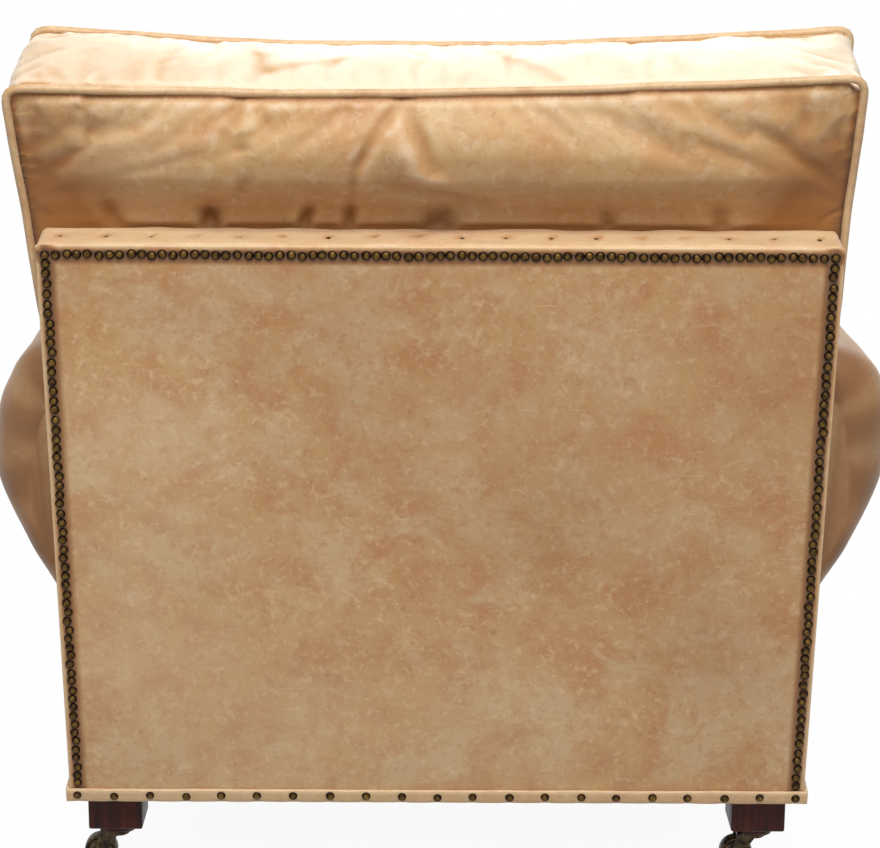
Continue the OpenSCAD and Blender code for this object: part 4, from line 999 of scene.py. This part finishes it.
unlean = LEAN.inverted()
tones = []
for v in cushion.data.vertices:
    p = unlean @ v.co
    tone = 0
    # The hide is painted pale on top and along the upper rear edge, as a highlight and partly as rubbing, and painted
    # dark as shade where it tucks under
    up = (p.z - BACK_TOP) / (150 * MM)
    x, y, z = p / MM
    if p.y > REAR_Y - 12 * MM and up > -0.6:
        # The rail holds it back, so it swells out only above the rail
        p.y = min(p.y, -BACK_DEEP) + max(0, p.y + BACK_DEEP) * (0.1 + 0.9 * ease(up / 0.45))
        for a, b, width, depth in FOLDS:
            if abs(2 * x - a[0] - b[0]) < abs(a[0] - b[0]) + 5 * width:
                gap, t = line_gap(x, z, a, b)
                p.y -= MM * depth * (0.35 + 0.65 * math.sin(math.pi * t)) * bell(gap, width)
        # Painted shade: darker towards the bottom of the rear face and at its lower corners, and a painted contact
        # shadow along the top rail
        corner = max(0, abs(x) - 315) / 100 * (1.6 if x > 0 else 2.3)
        tone = -0.1 - 0.1 * max(0, 1 - max(0, up) * 1.25) ** 1.3 - corner * max(0, 1 - max(0, up))
        tone -= 0.9 * bell(p.z - BACK_TOP, 7 * MM)
        tone *= 1 - ease(-up / 0.6)
    # Its top corners are well filled out between the two seams
    middle = math.sin(math.pi * max(0, min(1, (p.y - FRONT_Y - TIPPED) / CUSHION_THICK)))
    corner = middle * bell(abs(x) - 436, 45) * bell(p.z - BACK_TOP - RISE * MM, 60 * MM)
    p.x += corner * (11 if x > 0 else -3) * MM
    p.z += 6 * MM * corner
    if p.y < -48 * MM:
        # Painted highlight on the top, less towards the sitter's left and varied softly, with painted shade along its
        # folds
        rubbed = 0.85 - 0.4 * ease((x - 180) / 170) + 0.2 * swell(p, 0.09, 15)
        rubbed -= 0.6 * sum(bell(line_gap(x, y, a, b)[0], width) for a, b, width in PAINTED_TOP_FOLDS)
        tone += (rubbed - tone) * ease((z - BACK_TOP / MM - 122) / 20) * ease((y - FRONT_Y / MM - 2) / 30)
    tones.append(tone)
    # It keeps clear of the back, the seat cushion and the arms
    if p.z < BACK_TOP + 4 * MM and p.y > -BACK_DEEP - 3.2 * MM:
        p.y = min(p.y, -BACK_DEEP - 0.6 * MM)
    v.co = LEAN @ p
    v.co.z = max(v.co.z, SEAT_HIGH + 8 * MM)
    if v.co.z < ARM_TOP * MM:
        v.co.x = max(-ARM_INSIDE, min(ARM_INSIDE, v.co.x))
cushion.data.attributes.new("wear_and_painted_light", "FLOAT", "POINT").data.foreach_set("value", tones)
dress_cushion(cushion, back_loops, "back_cushion", "back_cushion_cover", "back_cushion_filling")
piping("back_cushion_piping_leather", "back_cushion_piping", back_loops, "back_cushion")

# The feet: mahogany blocks dowelled under the seat frame, the front pair turned below a square top,
# all stained dark and polished. Each has a small turned collar over its caster.
mahogany = sawn_wood("polished_mahogany", "#4a1b10", "#250b06", 2, 7 * MM, 0.42)
mahogany.node_tree.nodes["Principled BSDF"].inputs["Specular IOR Level"].default_value = 0.2
FOOT_X = 371 * MM
REAR_FOOT_Y = 281.067 * MM
FRONT_FOOT_Y = -399.8 * MM
FOOT_HALF = 31 * MM


def turned(profile, x, y):
    """A turned shape about an upright axis at x and y, from its half outline as radius and height."""
    bm = bmesh.new()
    verts = [bm.verts.new((r * MM, 0, z * MM)) for r, z in profile]
    edges = [bm.edges.new(pair) for pair in zip(verts, verts[1:])]
    bmesh.ops.spin(bm, geom=verts + edges, cent=(0, 0, 0), axis=(0, 0, 1), angle=math.tau, steps=40, use_merge=True)
    bmesh.ops.remove_doubles(bm, verts=bm.verts[:], dist=0.01 * MM)
    bmesh.ops.recalc_face_normals(bm, faces=bm.faces[:])
    bm.transform(Matrix.Translation((x, y, 0)))
    return bm


COLLAR = [(4.1, 47), (20.5, 47), (22, 48.5), (22, 53.5), (20.5, 55), (4.1, 55), (4.1, 47)]
VASE = [(4.1, 55), (18, 55), (18.5, 57), (20, 60), (24, 68), (29, 78), (31, 86), (31, 89), (4.1, 89), (4.1, 55)]
for word, y in (("rear", REAR_FOOT_Y), ("front", FRONT_FOOT_Y)):
    parts = []
    for s in (1, -1):
        low = 55 if word == "rear" else 89
        parts.append(padded_box((s * FOOT_X - FOOT_HALF, y - FOOT_HALF, low * MM),
                                (s * FOOT_X + FOOT_HALF, y + FOOT_HALF, 104 * MM), 2.5 * MM, 30 * MM))
        parts.append(turned(COLLAR, s * FOOT_X, y))
        if word == "front":
            parts.append(turned(VASE, s * FOOT_X, y))
    make_piece(word + "_wooden_feet", join(parts), word + "_feet", material=mahogany, slot="mahogany", sharp=35)

# The casters: small bronzed iron wheels in forked horns that turn on a plate under each foot.
bronze = cast_metal("bronzed_iron", "#5a4a33", "#211b16", 0.38, 0.8, 9 * MM)
dress(bronze, "caster_plates", *[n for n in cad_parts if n.endswith(("_fork", "_axle"))])
TREAD = [(2.6, -8.6), (6.5, -9), (7.5, -8.6), (8.5, -6.5), (14, -6.2), (15, -7.4), (16.5, -8.9), (18, -8.2),
         (18.9, -6), (19, -2)]
TREAD += [(r, -x) for r, x in reversed(TREAD)] + TREAD[:1]
for name in [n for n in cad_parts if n.endswith("_wheel")]:
    low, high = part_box(name)
    centre = (low + high) / 2
    make_piece(name + "_tread", turned(TREAD, 0, 0), name, material=bronze, body=name, slot="caster_bronze",
               sharp=35, place=Matrix.Translation(centre) @ Matrix.Rotation(math.pi / 2, 4, "X"))

# Under the seat a black cambric dust cover is stapled across the frame.
bm = bmesh.new()
front = FRAME_FRONT / MM
outline = [(334, front), (334, front + 68), (396, front + 68), (396, 244), (334, 244), (334, 302)]
outline += [(-x, y) for x, y in reversed(outline)]
bm.faces.new([bm.verts.new((x * MM, y * MM, 101 * MM)) for x, y in outline])
bmesh.ops.triangulate(bm, faces=bm.faces[:])
bmesh.ops.subdivide_edges(bm, edges=bm.edges[:], cuts=5, use_grid_fill=True)
cambric = woven("black_cambric", "#37332f", "#1c1a19", 1.2 * MM, 0.95)
dust = make_piece("dust_cover_cloth", bm, "dust_cover", material=cambric, slot="dust_cloth")
